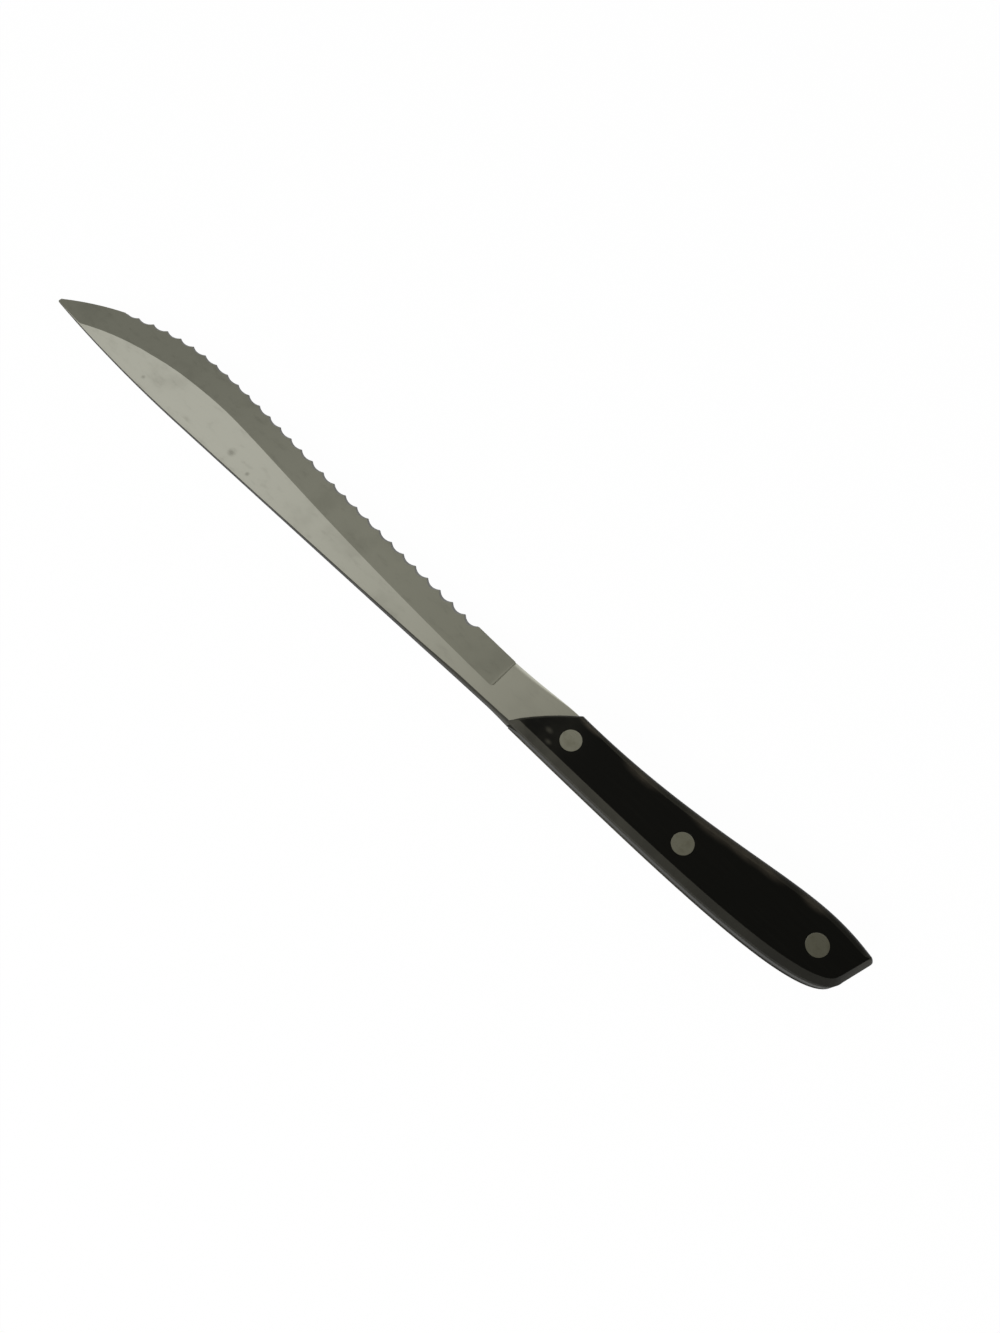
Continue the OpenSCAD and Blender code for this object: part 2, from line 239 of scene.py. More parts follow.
class Graph:
    """The node tree of one material or of the world, emptied and filled again."""

    def __init__(self, owner: bpy.types.Material | bpy.types.World) -> None:
        """Take over the owner's node tree."""
        owner.use_nodes = True
        self.owner = owner
        self.tree = owner.node_tree
        self.tree.nodes.clear()

    def node(
        self,
        kind: str,
        settings: Mapping[str, object] | None = None,
        sockets: Mapping[str | int, object] | None = None,
        output: str | int = 0,
    ) -> Value:
        """Add a node.

        Args:
            kind: The node's type.
            settings: Its own properties, set before its sockets.
            sockets: Values, colours or links of its input sockets, by name or number.
            output: Which output is wanted.

        Returns:
            That output, ready for arithmetic.
        """
        made = self.tree.nodes.new(kind)
        for key, setting in (settings or {}).items():
            setattr(made, key, setting)
        for key, held in (sockets or {}).items():
            if isinstance(held, Value):
                self.tree.links.new(held.socket, made.inputs[key])
            else:
                made.inputs[key].default_value = held
        return Value(self, made.outputs[output])

    def blend(
        self,
        share: Value | float,
        first: Value | Colour,
        second: Value | Colour,
        way: str = "MIX",
    ) -> Value:
        """Return a colour that turns from the first to the second as the share grows."""
        settings = {"data_type": "RGBA", "blend_type": way, "clamp_factor": True}
        return self.node("ShaderNodeMix", settings, {0: share, 6: first, 7: second}, output=2)

    def tinted(self, colour: Value, tint: Value) -> Value:
        """Return the product of two colours."""
        return self.blend(1.0, colour, tint, "MULTIPLY")

    def vector(self, operation: str, *operands: object, output: str = "Vector") -> Value:
        """Add a Vector Math node of that operation, fed by the operands in order."""
        sockets = dict(enumerate(operands))
        return self.node("ShaderNodeVectorMath", {"operation": operation}, sockets, output)

    def place(self) -> Value:
        """Return the place on the piece, in millimetres."""
        metres = self.node("ShaderNodeTexCoord", output="Object")
        return self.stretched(metres, (1 / MM, 1 / MM, 1 / MM))

    def ahead(self, place: Value, origin: Vector) -> Value:
        """Return how far along the knife a place lies, from the drawing's origin."""
        return self.node("ShaderNodeSeparateXYZ", None, {0: place}, output="X") - origin.x

    def stretched(self, place: Value, stretch: Sequence[float]) -> Value:
        """Return the place with each axis multiplied, so that a pattern shrinks along it."""
        return self.vector("MULTIPLY", place, tuple(stretch))

    def spot(
        self, place: Value, centre: Sequence[float], radius: float, stretch: float = 1.0
    ) -> Value:
        """Return 1 at a spot of the surface, fading to 0 at its radius.

        Args:
            place: Place on the piece, in millimetres.
            centre: Middle of the spot, in the same measure.
            radius: Half width of the spot.
            stretch: How much longer than wide the spot is, along the knife.

        Returns:
            The mask of the spot.
        """
        offset = self.vector("SUBTRACT", place, tuple(centre))
        shaped = self.stretched(offset, (1 / stretch, 1.0, 1.0))
        return self.vector("LENGTH", shaped, output="Value").rise(radius, 0.0)

    def attribute(self, name: str) -> Value:
        """Return a number that the mesh carries under that name."""
        return self.node("ShaderNodeAttribute", {"attribute_name": name}, output="Fac")

    def bump(self, height: Value, strength: float, depth: float) -> Value:
        """Return the normal of a surface raised by a height, with its full depth in millimetres."""
        return self.node(
            "ShaderNodeBump", None, {"Height": height, "Strength": strength, "Distance": depth * MM}
        )

    def finish(self, shader: Value, output: str = "ShaderNodeOutputMaterial") -> None:
        """Lead the shader to the tree's output."""
        self.tree.links.new(shader.socket, self.tree.nodes.new(output).inputs["Surface"])

    def surface(self, sockets: Mapping[str | int, object]) -> bpy.types.Material:
        """Finish a material with a surface of those sockets, and return it."""
        self.finish(self.node("ShaderNodeBsdfPrincipled", None, sockets))
        return self.owner


@dataclass(frozen=True)
class Pattern:
    """Cloudy noise that breaks up a finish."""

    pitch: tuple[float, float, float]  # Clouds to a millimetre along x, y and z.
    detail: float = 3.0  # Number of finer layers.
    rough: float = 0.6  # Strength of each finer layer.

    def on(self, place: Value) -> Value:
        """Return the noise at a place on the piece."""
        spread = place.graph.stretched(place, self.pitch)
        return place.graph.node(
            "ShaderNodeTexNoise",
            None,
            {"Vector": spread, "Scale": 1.0, "Detail": self.detail, "Roughness": self.rough},
        )


@dataclass(frozen=True)
class SatinSteel:
    """Blade steel: satin flats, a duller ground bevel, tooth grinds and eased spine darkened as
    painted shade, and an unfinished spine partly darkened as painted shade.
    """

    flat: Colour = (0.62, 0.62, 0.562, 1.0)  # Colour of the polished flats.
    # Colour of the bevel at the heel, where the grind is fresh.
    heel_grind: Colour = (0.46, 0.463, 0.41, 1.0)
    # Colour of the bevel by the point, where use has dulled it.
    point_grind: Colour = (0.315, 0.318, 0.279, 1.0)
    # Colour of the leaning grinds between the teeth, and of the eased spine: painted shade, a dark
    # colour standing in for the dim reflections that they show.
    tooth: Colour = (0.20, 0.20, 0.195, 1.0)
    raw_and_painted_shade: Colour = (0.06, 0.06, 0.055, 1.0)  # Colour of the unfinished spine and of the tang's dull rim: the dull steel's own colour, darkened further as painted shade of the shadowed floor that they reflect.
    stain: Colour = (0.60, 0.60, 0.61, 1.0)  # Tint of water stains and smudges.
    shade: Colour = (0.90, 0.90, 0.90, 1.0)  # Tint of the darkest grinding lines.
    flat_rough: float = 0.30  # Roughness of the flats.
    ground_rough: float = 0.45  # Roughness of the bevel and of the tooth grinds.
    raw_rough: float = 0.60  # Roughness of the spine and of the tang's rim.
    line_rough: float = 0.10  # Roughness that the grinding lines add.
    smudge_rough: float = 0.25  # Roughness that smudges add.
    line_contrast: float = 0.5  # Strength of the grinding lines in the colour.
    # Strength of the grinding lines' relief, and its depth in millimetres.
    relief: tuple[float, float] = (0.12, 0.01)
    lengthwise: Pattern = Pattern((0.12, 14.0, 14.0))  # Grinding lines of the flats.
    # Grinding lines of the bevel and of the tooth grinds.
    crosswise: Pattern = Pattern((11.0, 0.35, 0.35))
    clouds: Pattern = Pattern((0.11, 0.11, 0.11), 4.0, 0.55)  # Pattern of the haze.
    smears: Pattern = Pattern((0.25, 0.6, 0.6), 5.0)  # Pattern of the smears.
    dulled: Ramp = (40.0, 130.0)  # Ramp along the blade over which the bevel dulls, in millimetres.
    hazed: Ramp = (0.5, 0.72, 0.0, 0.12)  # Ramp of the haze.
    smeared: Ramp = (0.52, 0.8, 0.0, 0.20)  # Ramp of the smears.
    broken: Ramp = (0.2, 0.6, 0.0, 0.75)  # Ramp that breaks up the stains.
    # Places and half widths of the stains, in the drawing's millimetres.
    stains: tuple[tuple[float, float, float], ...] = (
        (123.55, -2.5, 0.9),
        (93.45, -3.4, 1.5),
        (86.75, -2.0, 0.8),
    )

    def material(self, flat: Vector) -> bpy.types.Material:
        """Make the finish.

        Args:
            flat: Where the drawing's origin stands on the right flat, in millimetres of the frame.

        Returns:
            The material of the blade.
        """
        graph = Graph(bpy.data.materials.new("satin_blade_steel"))
        place = graph.place()
        zone = graph.attribute("zone")
        ground, tooth, rim = (zone.near(z) for z in (Zone.GRIND, Zone.TOOTH, Zone.RIM))
        leaning = ground.larger(tooth)
        lengthwise, crosswise = self.lengthwise.on(place), self.crosswise.on(place)
        lines = lengthwise + (crosswise - lengthwise) * leaning - MEAN
        smears = self.smears.on(place)

        dulled = graph.ahead(place, flat).rise(*self.dulled)
        grind = graph.blend(dulled, self.heel_grind, self.point_grind)
        colour = graph.blend(ground, self.flat, grind)
        # Painted shade: the tooth grinds and the eased spine take a dark colour in place of their
        # dim reflections.
        colour = graph.blend(tooth, colour, self.tooth)
        # The spine and the tang's rim: dull steel of their own, with painted shade of the shadowed
        # floor that they reflect.
        colour = graph.blend(rim, colour, self.raw_and_painted_shade)
        smudge = smears.rise(*self.smeared) + self.clouds.on(place).rise(*self.hazed)
        for x, y, radius in self.stains:
            spot = graph.spot(place, flat + Vector((x, y, 0.0)), radius)
            smudge = smudge.larger(spot * smears.rise(*self.broken))
        colour = graph.tinted(colour, graph.blend(smudge * (1 - rim), WHITE, self.stain))
        shade = graph.blend(lines * self.line_contrast + MEAN, self.shade, WHITE)
        rough = self.flat_rough + leaning * (self.ground_rough - self.flat_rough)
        rough = rough + rim * (self.raw_rough - self.flat_rough)
        return graph.surface(
            {
                "Base Color": graph.tinted(colour, shade),
                "Metallic": 1.0,
                "Roughness": rough + lines * self.line_rough + smudge * self.smudge_rough,
                "Normal": graph.bump(lines, *self.relief),
            }
        )


@dataclass(frozen=True)
class StainedWood:
    """Scale wood: stained near black, rubbed browner along the roundings, with painted light on the
    butt's chamfer, and fine open pores.
    """

    stain: Colour = (0.0035, 0.0035, 0.0030, 1.0)  # Colour of the stained face.
    worn_and_painted_light: Colour = (0.036, 0.035, 0.028, 1.0)  # Colour where hands have rubbed through the stain, also used as painted light on the butt's chamfer.
    # Colour of the patches along the lower side where brown wood shows through.
    bare: Colour = (0.060, 0.052, 0.040, 1.0)
    scuff: Colour = (0.055, 0.052, 0.042, 1.0)  # Colour of small scuffs.
    rough: float = 0.35  # Roughness of the waxed face.
    wall_rough: float = 0.85  # Roughness of the side walls.
    specular: float = 0.115  # Strength of the wax's gloss.
    rim_wear: float = 0.75  # Wear of the roundings.
    wall_wear: float = 0.95  # Wear of the side walls.
    grain_rough: float = 0.16  # Roughness that the grain adds.
    pit_rough: float = 0.12  # Roughness that the open pores add.
    hand_rough: float = 0.06  # Roughness that handling adds.
    grain_height: float = 0.4  # Height of the grain, as a share of the relief.
    pit_depth: float = 0.6  # Depth of the open pores, as a share of the relief.
    # Strength of the relief, and its depth in millimetres.
    relief: tuple[float, float] = (0.18, 0.04)
    grain: Pattern = Pattern((0.10, 1.1, 1.1), 5.0, 0.62)  # Pattern of the grain.
    pores: Pattern = Pattern((0.9, 9.0, 9.0), 2.0, 0.5)  # Pattern of the pores.
    handling: Pattern = Pattern((0.16, 0.16, 0.16), 3.0, 0.55)  # Pattern of the handling.
    patchy: Pattern = Pattern((0.5, 1.2, 1.2), 4.0)  # Pattern that breaks up the bare patches.
    pitted: Ramp = (0.60, 0.72)  # Ramp of the open pores.
    # Ramp along the handle over which the wear grows to the front, in millimetres.
    ebbing: Ramp = (-72.0, -8.0, 0.3, 1.0)
    handled: Ramp = (0.25, 0.75, 0.75, 1.05)  # Ramp of the handling in the wear.
    # Ramp along the handle over which the face by the front is worn.
    front_worn: Ramp = (-12.0, 3.0, 0.0, 0.3)
    front_broken: Ramp = (0.3, 0.7)  # Ramp that breaks up that wear.
    # Ramp along the handle over which the rounding turns to that colour again at the butt: painted
    # light, the butt's chamfer made lighter for the light that it catches.
    butt_painted_light: Ramp = (-72.0, -74.5, 0.0, 0.5)
    grained: Ramp = (0.45, 0.85, 0.0, 0.03)  # Ramp of the grain in the wear.
    scuffed: Ramp = (0.25, 0.5, 0.0, 0.6)  # Ramp that breaks up the scuffs.
    patched: Ramp = (0.25, 0.65, 0.35, 0.70)  # Ramp that breaks up the bare patches.
    # Places, half widths and lengths over width, in the drawing's millimetres.
    scuffs: tuple[tuple[float, float, float, float], ...] = (
        (-2.35, -3.8, 0.8, 1.6),
        (-3.85, -1.9, 0.7, 1.6),
    )
    patches: tuple[tuple[float, float, float, float], ...] = (  # The same of the bare patches.
        (-8.0, -9.9, 1.0, 4.0),
        (-21.5, -9.7, 1.9, 3.2),
        (-37.0, -10.8, 1.9, 3.6),
        (-44.0, -11.6, 1.9, 3.6),
        (-50.0, -12.3, 1.9, 3.0),
        (-60.5, -13.3, 1.7, 2.6),
    )

    def material(self, face: Vector) -> bpy.types.Material:
        """Make the finish.

        Args:
            face: Where the drawing's origin stands on the right scale's face, in millimetres.

        Returns:
            The material of both scales.
        """
        graph = Graph(bpy.data.materials.new("black_stained_wood"))
        place = graph.place()
        ahead = graph.ahead(place, face)
        zone = graph.attribute("zone")
        rounding, wall = zone.near(Zone.RIM), zone.near(Zone.WALL)
        grain, handling = self.grain.on(place), self.handling.on(place)
        pits = self.pores.on(place).rise(*self.pitted)

        wear_and_painted_light = rounding * self.rim_wear + wall * self.wall_wear
        wear_and_painted_light = wear_and_painted_light * ahead.rise(*self.ebbing) * handling.rise(*self.handled)
        wear_and_painted_light = wear_and_painted_light + ahead.rise(*self.front_worn) * handling.rise(*self.front_broken)
        # Painted light: the rounding by the butt is lightened for the light that its chamfer
        # catches; the grain adds its own wear.
        wear_and_painted_light = wear_and_painted_light + rounding * ahead.rise(*self.butt_painted_light) + grain.rise(*self.grained)
        colour = graph.blend(wear_and_painted_light, self.stain, self.worn_and_painted_light)
        marks = (
            (self.scuffs, self.scuff, handling.rise(*self.scuffed)),
            (self.patches, self.bare, self.patchy.on(place).rise(*self.patched)),
        )
        for places, tone, strength in marks:
            for x, y, radius, stretch in places:
                spot = graph.spot(place, face + Vector((x, y, 0.0)), radius, stretch)
                colour = graph.blend(spot * strength, colour, tone)
        rough = self.rough + wall * (self.wall_rough - self.rough)
        rough = rough + (grain - MEAN) * self.grain_rough + pits * self.pit_rough
        height = grain * self.grain_height - pits * self.pit_depth
        return graph.surface(
            {
                "Base Color": colour,
                "Roughness": rough + handling * self.hand_rough,
                "Specular IOR Level": self.specular,
                "Normal": graph.bump(height, *self.relief),
            }
        )


@dataclass(frozen=True)
class RivetSteel:
    """Rivet heads: ground flush with the scales, dull, with crossing scratches and tarnish."""

    face: Colour = (0.455, 0.455, 0.395, 1.0)  # Colour of the ground face.
    tarnish: Colour = (0.32, 0.31, 0.25, 1.0)  # Colour of the tarnish.
    rough: float = 0.27  # Roughness of the face.
    scratch_rough: float = 0.2  # Roughness that the scratches add.
    cloud_rough: float = 0.08  # Roughness that the tarnish adds.
    # Strength of the scratches' relief, and its depth in millimetres.
    relief: tuple[float, float] = (0.10, 0.01)
    scratches: Pattern = Pattern((0.7, 12.0, 1.0))  # Pattern of the scratches.
    clouds: Pattern = Pattern((0.5, 0.5, 0.5), 4.0)  # Pattern of the tarnish.
    tarnished: Ramp = (0.42, 0.75, 0.0, 0.6)  # Ramp of the tarnish.

    def material(self) -> bpy.types.Material:
        """Make the material of the rivets."""
        graph = Graph(bpy.data.materials.new("ground_rivet_steel"))
        place = graph.place()
        scratches, clouds = self.scratches.on(place), self.clouds.on(place)
        rough = self.rough + (scratches - MEAN) * self.scratch_rough
        return graph.surface(
            {
                "Base Color": graph.blend(clouds.rise(*self.tarnished), self.face, self.tarnish),
                "Metallic": 1.0,
                "Roughness": rough + clouds * self.cloud_rough,
                "Normal": graph.bump(scratches, *self.relief),
            }
        )


def set_out(
    mesh: bmesh.types.BMesh, name: str, material: bpy.types.Material
) -> bpy.types.Object:
    """Turn a finished mesh into an object of the scene.

    Args:
        mesh: The mesh, which is used up.
        name: Name of the object.
        material: Its finish.

    Returns:
        The object.
    """
    data = bpy.data.meshes.new(name)
    mesh.to_mesh(data)
    mesh.free()
    data.materials.append(material)
    made = bpy.data.objects.new(name, data)
    bpy.context.scene.collection.objects.link(made)
    return made


class Workpiece:
    """A mesh on the bench, in the drawing's millimetres until it is delivered."""

    WELD: ClassVar[float] = 1e-4  # Distance within which places count as one.

    def __init__(self) -> None:
        """Start an empty mesh whose vertices know their rail and whose faces their zone."""
        self.mesh = bmesh.new()
        self.rail = self.mesh.verts.layers.int.new("rail")
        self.zone = self.mesh.faces.layers.float.new("zone")

    def draw_out(self, rings: Sequence[Sequence[Vector]]) -> tuple[list[BMEdge], list[BMEdge]]:
        """Extrude a closed ring of a few vertices through further rings.

        Args:
            rings: Places of the vertices of each ring.

        Returns:
            The edges of the first ring and of the last.
        """
        verts = [self.mesh.verts.new(place) for place in rings[0]]
        for number, vert in enumerate(verts):
            vert[self.rail] = number
        first = [self.mesh.edges.new(pair) for pair in zip(verts, verts[1:] + verts[:1])]
        last = first
        for ring in rings[1:]:
            last = self.extrude(last)
            ends = sorted({v for e in last for v in e.verts}, key=lambda v: v[self.rail])
            for vert, place in zip(ends, ring):
                vert.co = place
        return first, last

    def extrude(self, edges: list[BMEdge]) -> list[BMEdge]:
        """Extrude edges in place and return the new edges of the far side."""
        grown = bmesh.ops.extrude_edge_only(self.mesh, edges=edges)["geom"]
        fresh = {g for g in grown if isinstance(g, BMVert)}
        return [g for g in grown if isinstance(g, BMEdge) and fresh.issuperset(g.verts)]

    def bore(
        self, centre: Vector, steps: Sequence[tuple[float, float]], segments: int = 64
    ) -> tuple[list[BMEdge], list[BMEdge]]:
        """Make the wall of a stepped round hole.

        Args:
            centre: Middle of the hole.
            steps: Radius and height of each step, from one mouth to the other.
            segments: Sides of the hole.

        Returns:
            The edges of the two mouths.
        """
        radius, z = steps[0]
        ring = bmesh.ops.create_circle(
            self.mesh,
            radius=radius,
            segments=segments,
            matrix=Matrix.Translation((centre.x, centre.y, z)),
        )["verts"]
        first = list(dict.fromkeys(e for v in ring for e in v.link_edges))
        last = first
        for next_radius, next_z in steps[1:]:
            last = self.extrude(last)
            ends = list(dict.fromkeys(v for e in last for v in e.verts))
            spread = next_radius / radius
            bmesh.ops.scale(
                self.mesh,
                vec=(spread, spread, 1.0),
                space=Matrix.Translation((-centre.x, -centre.y, 0.0)),
                verts=ends,
            )
            bmesh.ops.translate(self.mesh, vec=(0.0, 0.0, next_z - z), verts=ends)
            radius, z = next_radius, next_z
        return first, last

    def cover(self, edges: Iterable[BMEdge]) -> list[BMFace]:
        """Fill a flat outline, with any holes inside it, and return the new faces."""
        filled = bmesh.ops.triangle_fill(
            self.mesh, use_beauty=True, use_dissolve=False, edges=list(edges)
        )["geom"]
        return [g for g in filled if isinstance(g, BMFace)]

    def deliver(
        self,
        name: str,
        node: str,
        material: bpy.types.Material,
        stand: Vector,
        sharp: float = 25.0,
    ) -> None:
        """Close the mesh, carry it to the frame and let it stand for its CAD node.

        Args:
            name: Name of the piece.
            node: The CAD node that it replaces.
            material: Its finish.
            stand: Where the drawing's origin stands in the frame, in millimetres.
            sharp: Angle in degrees above which an edge stays crisp.
        """
        mesh = self.mesh
        bmesh.ops.remove_doubles(mesh, verts=mesh.verts, dist=self.WELD)
        bmesh.ops.dissolve_degenerate(mesh, edges=mesh.edges, dist=self.WELD)
        bmesh.ops.recalc_face_normals(mesh, faces=mesh.faces)
        for face in mesh.faces:
            face.smooth = True
        for edge in mesh.edges:
            if len(edge.link_faces) == 2 and edge.calc_face_angle() > math.radians(sharp):
                edge.smooth = False
        bmesh.ops.transform(
            mesh, matrix=Matrix.Scale(MM, 4) @ Matrix.Translation(stand), verts=mesh.verts
        )
        piece = set_out(mesh, name, material)
        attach(piece, BODY)
        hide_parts(node)
        LOG.info("%s: %d faces", name, len(piece.data.polygons))


@dataclass
class Handle:
    """Outline of the handle, which the tang and the two scales share, in millimetres."""

    # From the middle of the front to the butt's lower corner, before that is rounded.
    length: float = 75.5
    front_w: float = 10.95  # Width at the front.
    front_slant: float = 43.4  # Slant of the front, in degrees from square to the spine.
    front_bow: float = 0.5  # Bow of the front towards the point.
    back_rise: float = 0.87  # Rise of the back above the line of the spine.
    crown_back: float = 35.4  # Distance of the back's highest place behind the front.
    swell_w: float = 14.35  # Depth of the swell below the line of the spine.
    swell_ahead: float = 11.9  # Distance of the swell's deepest place ahead of the butt.
    butt_low: float = 12.72  # Depth of the butt's lower corner.
    butt_high: float = 5.8  # Depth at which the butt's upper corner has rounded off.
    butt_slant: float = 17.0  # Slant of the butt, in degrees from square to the spine.
    butt_round: float = 1.05  # Size of the rounding of the butt's lower corner.
    corner_clear: float = 1.67  # How far the lower side keeps clear of that corner.
    front_steps: int = 3  # Steps from the middle of the front to a corner.
    # Steps along the back, ahead of the crown and behind it.
    back_steps: tuple[int, int] = (16, 52)
    # Steps along the lower side, ahead of the swell and behind it.
    edge_steps: tuple[int, int] = (40, 21)
    corner_steps: int = 6  # Steps round the butt's lower corner.
    # Bend of the back ahead of its highest place.
    back_fore_shares: Shares = ((0.36, 0.52), (0.75, 1.0))
    back_aft_shares: Shares = ((0.55, 0.0), (0.98, 0.13))  # Bend of the back behind it.
    # Bend of the lower side ahead of the swell.
    edge_fore_shares: Shares = ((0.47, -0.428), (0.79, 1.0))
    edge_aft_shares: Shares = ((0.39, 0.0), (0.74, 0.43))  # Bend of the lower side behind it.

    @property
    def front_back(self) -> Vector:
        """Return the upper corner of the front."""
        return Vector((self.front_w * math.tan(math.radians(self.front_slant)) / 2, 0.0))

    @property
    def front_edge(self) -> Vector:
        """Return the lower corner of the front."""
        return Vector((-self.front_back.x, -self.front_w))

    @property
    def butt_edge(self) -> Vector:
        """Return the lower corner of the butt, before it is rounded."""
        return Vector((-self.length, -self.butt_low))

    @property
    def butt_back(self) -> Vector:
        """Return where the butt turns into the back."""
        lean = math.tan(math.radians(self.butt_slant))
        return self.butt_edge + (self.butt_low - self.butt_high) * Vector((lean, 1.0))

    @property
    def swell(self) -> Vector:
        """Return the deepest place of the lower side."""
        return Vector((self.swell_ahead - self.length, -self.swell_w))

    @cached_property
    def lower_end(self) -> tuple[Sweep, float]:
        """Return the lower side behind the swell, and the share of it ahead of the corner."""
        sweep = Sweep(self.swell, self.butt_edge, self.edge_aft_shares)
        return sweep, 1 - self.corner_clear / (3 * (sweep.end - sweep.inner()[1]).length)

    @cached_property
    def corner_before(self) -> Vector:
        """Return the last place of the lower side before the butt's lower corner."""
        sweep, reach = self.lower_end
        return sweep.at(reach)

    @cached_property
    def back_rail(self) -> list[Vector]:
        """Return the outline from the middle of the front along the back to the butt."""
        crown = Vector((-self.crown_back, self.back_rise))
        return (
            self.front_half(self.front_back)
            + Sweep(self.front_back, crown, self.back_fore_shares).along(self.back_steps[0])
            + Sweep(crown, self.butt_back, self.back_aft_shares).along(self.back_steps[1])
        )

    @cached_property
    def edge_rail(self) -> list[Vector]:
        """Return the outline from the middle of the front along the lower side to the butt."""
        sweep, reach = self.lower_end
        return (
            self.front_half(self.front_edge)
            + Sweep(self.front_edge, self.swell, self.edge_fore_shares).along(self.edge_steps[0])
            + sweep.along(self.edge_steps[1], reach)
            + self.butt_corner()
        )

    def butt_corner(self) -> list[Vector]:
        """Return the rounded lower corner of the butt, from the lower side round to the butt."""
        corner = self.butt_edge
        start, end = (
            corner + self.butt_round * (place - corner).normalized()
            for place in (self.corner_before, self.butt_back)
        )
        return [
            start.lerp(corner, t).lerp(corner.lerp(end, t), t) for t in even(self.corner_steps)
        ]

    def front_half(self, corner: Vector) -> list[Vector]:
        """Return half of the bowed front, from its middle to one corner."""
        slant = math.radians(self.front_slant)
        ahead = Vector((math.cos(slant), -math.sin(slant)))
        middle = (self.front_back + self.front_edge) / 2
        return [
            middle.lerp(corner, t) + ahead * self.front_bow * (1 - t * t)
            for t in even(self.front_steps)
        ]


@dataclass
class Section:
    """One cross-section of the steel, from its back to its edge, in millimetres."""

    ROUNDING: ClassVar[int] = 3  # Steps of a rounding.
    SUPPORT: ClassVar[float] = 0.06  # Share of the flat that borders on the spine's rounding.
    SPINE: ClassVar[int] = 0  # Rail of the spine.
    GRIND: ClassVar[int] = ROUNDING + 2  # Rail of the grind line.
    FOOT: ClassVar[int] = GRIND + ROUNDING + 1  # Rail of the edge.
    RAILS: ClassVar[int] = 2 * (FOOT + 1)  # Number of rails, on both flanks.

    back: Vector  # Place of the back.
    edge: Vector  # Place of the edge.
    grind: float  # Distance of the grind line from the edge.
    # Half thickness at the back, at the grind line and at the edge.
    halves: tuple[float, float, float]
    back_ease: tuple[float, float]  # Width and height of the rounded corners of the back.
    # Width and height of the eased corners of the edge.
    edge_ease: tuple[float, float] = (0.0, 0.0)
    # Share of the grind that is there, from 0 on the ricasso to 1 on the bevel.
    ground: float = 1.0
    # How far the scallop goes in on the right and on the left bevel.
    cuts: tuple[float, float] = (0.0, 0.0)
    inward: Vector | None = None  # Direction of that cut.

    @classmethod
    def ranks(cls, rails: Iterable[int]) -> set[int]:
        """Return how far down from the spine rails lie, counted alike on both flanks."""
        return {min(rail, cls.RAILS - 1 - rail) for rail in rails}

    def half(self, s: float) -> float:
        """Return the half thickness at a distance s from the edge."""
        width = (self.back - self.edge).length
        if s < self.grind:
            return mix(self.halves[2], self.halves[1], s / self.grind)
        return mix(self.halves[1], self.halves[0], (s - self.grind) / (width - self.grind))

    def flank(self, flank: Flank) -> list[Vector]:
        """Return the places on one flank: rounded spine, flat, grind line and edge."""
        width = (self.back - self.edge).length
        across = (self.back - self.edge) / width
        cut = self.cuts[0] if flank is Flank.RIGHT else self.cuts[1]

        def at(s: float, z: float) -> Vector:
            """Return the place at a distance s from the edge, at a height z over the middle."""
            flat = self.edge + across * s
            return Vector((flat.x, flat.y, z * flank.value))

        lip = self.edge + (self.inward or across) * cut
        ease_w, ease_h = self.edge_ease
        lip_z = self.half(cut) - ease_h * (1 - self.ground)
        grind = at(self.grind, self.halves[1])
        foot = Vector((lip.x, lip.y, lip_z * flank.value))
        back_w, back_h = self.back_ease
        places = []
        for t in reversed(even(self.ROUNDING)):
            s = width - back_w * (1 - t)
            places.append(at(s, self.half(s) - back_h * t * t))
        support = mix(width - back_w, self.grind, self.SUPPORT)
        places += [at(support, self.half(support)), grind]
        for t in even(self.ROUNDING):
            s = ease_w * (1 - t)
            rounded = at(s, self.half(s) - ease_h * t * t)
            places.append(rounded.lerp(grind.lerp(foot, (1 + t) / 2), self.ground))
        return places

    def ring(self) -> list[Vector]:
        """Return the whole ring, down the right flank and up the left one."""
        return self.flank(Flank.RIGHT) + self.flank(Flank.LEFT)[::-1]


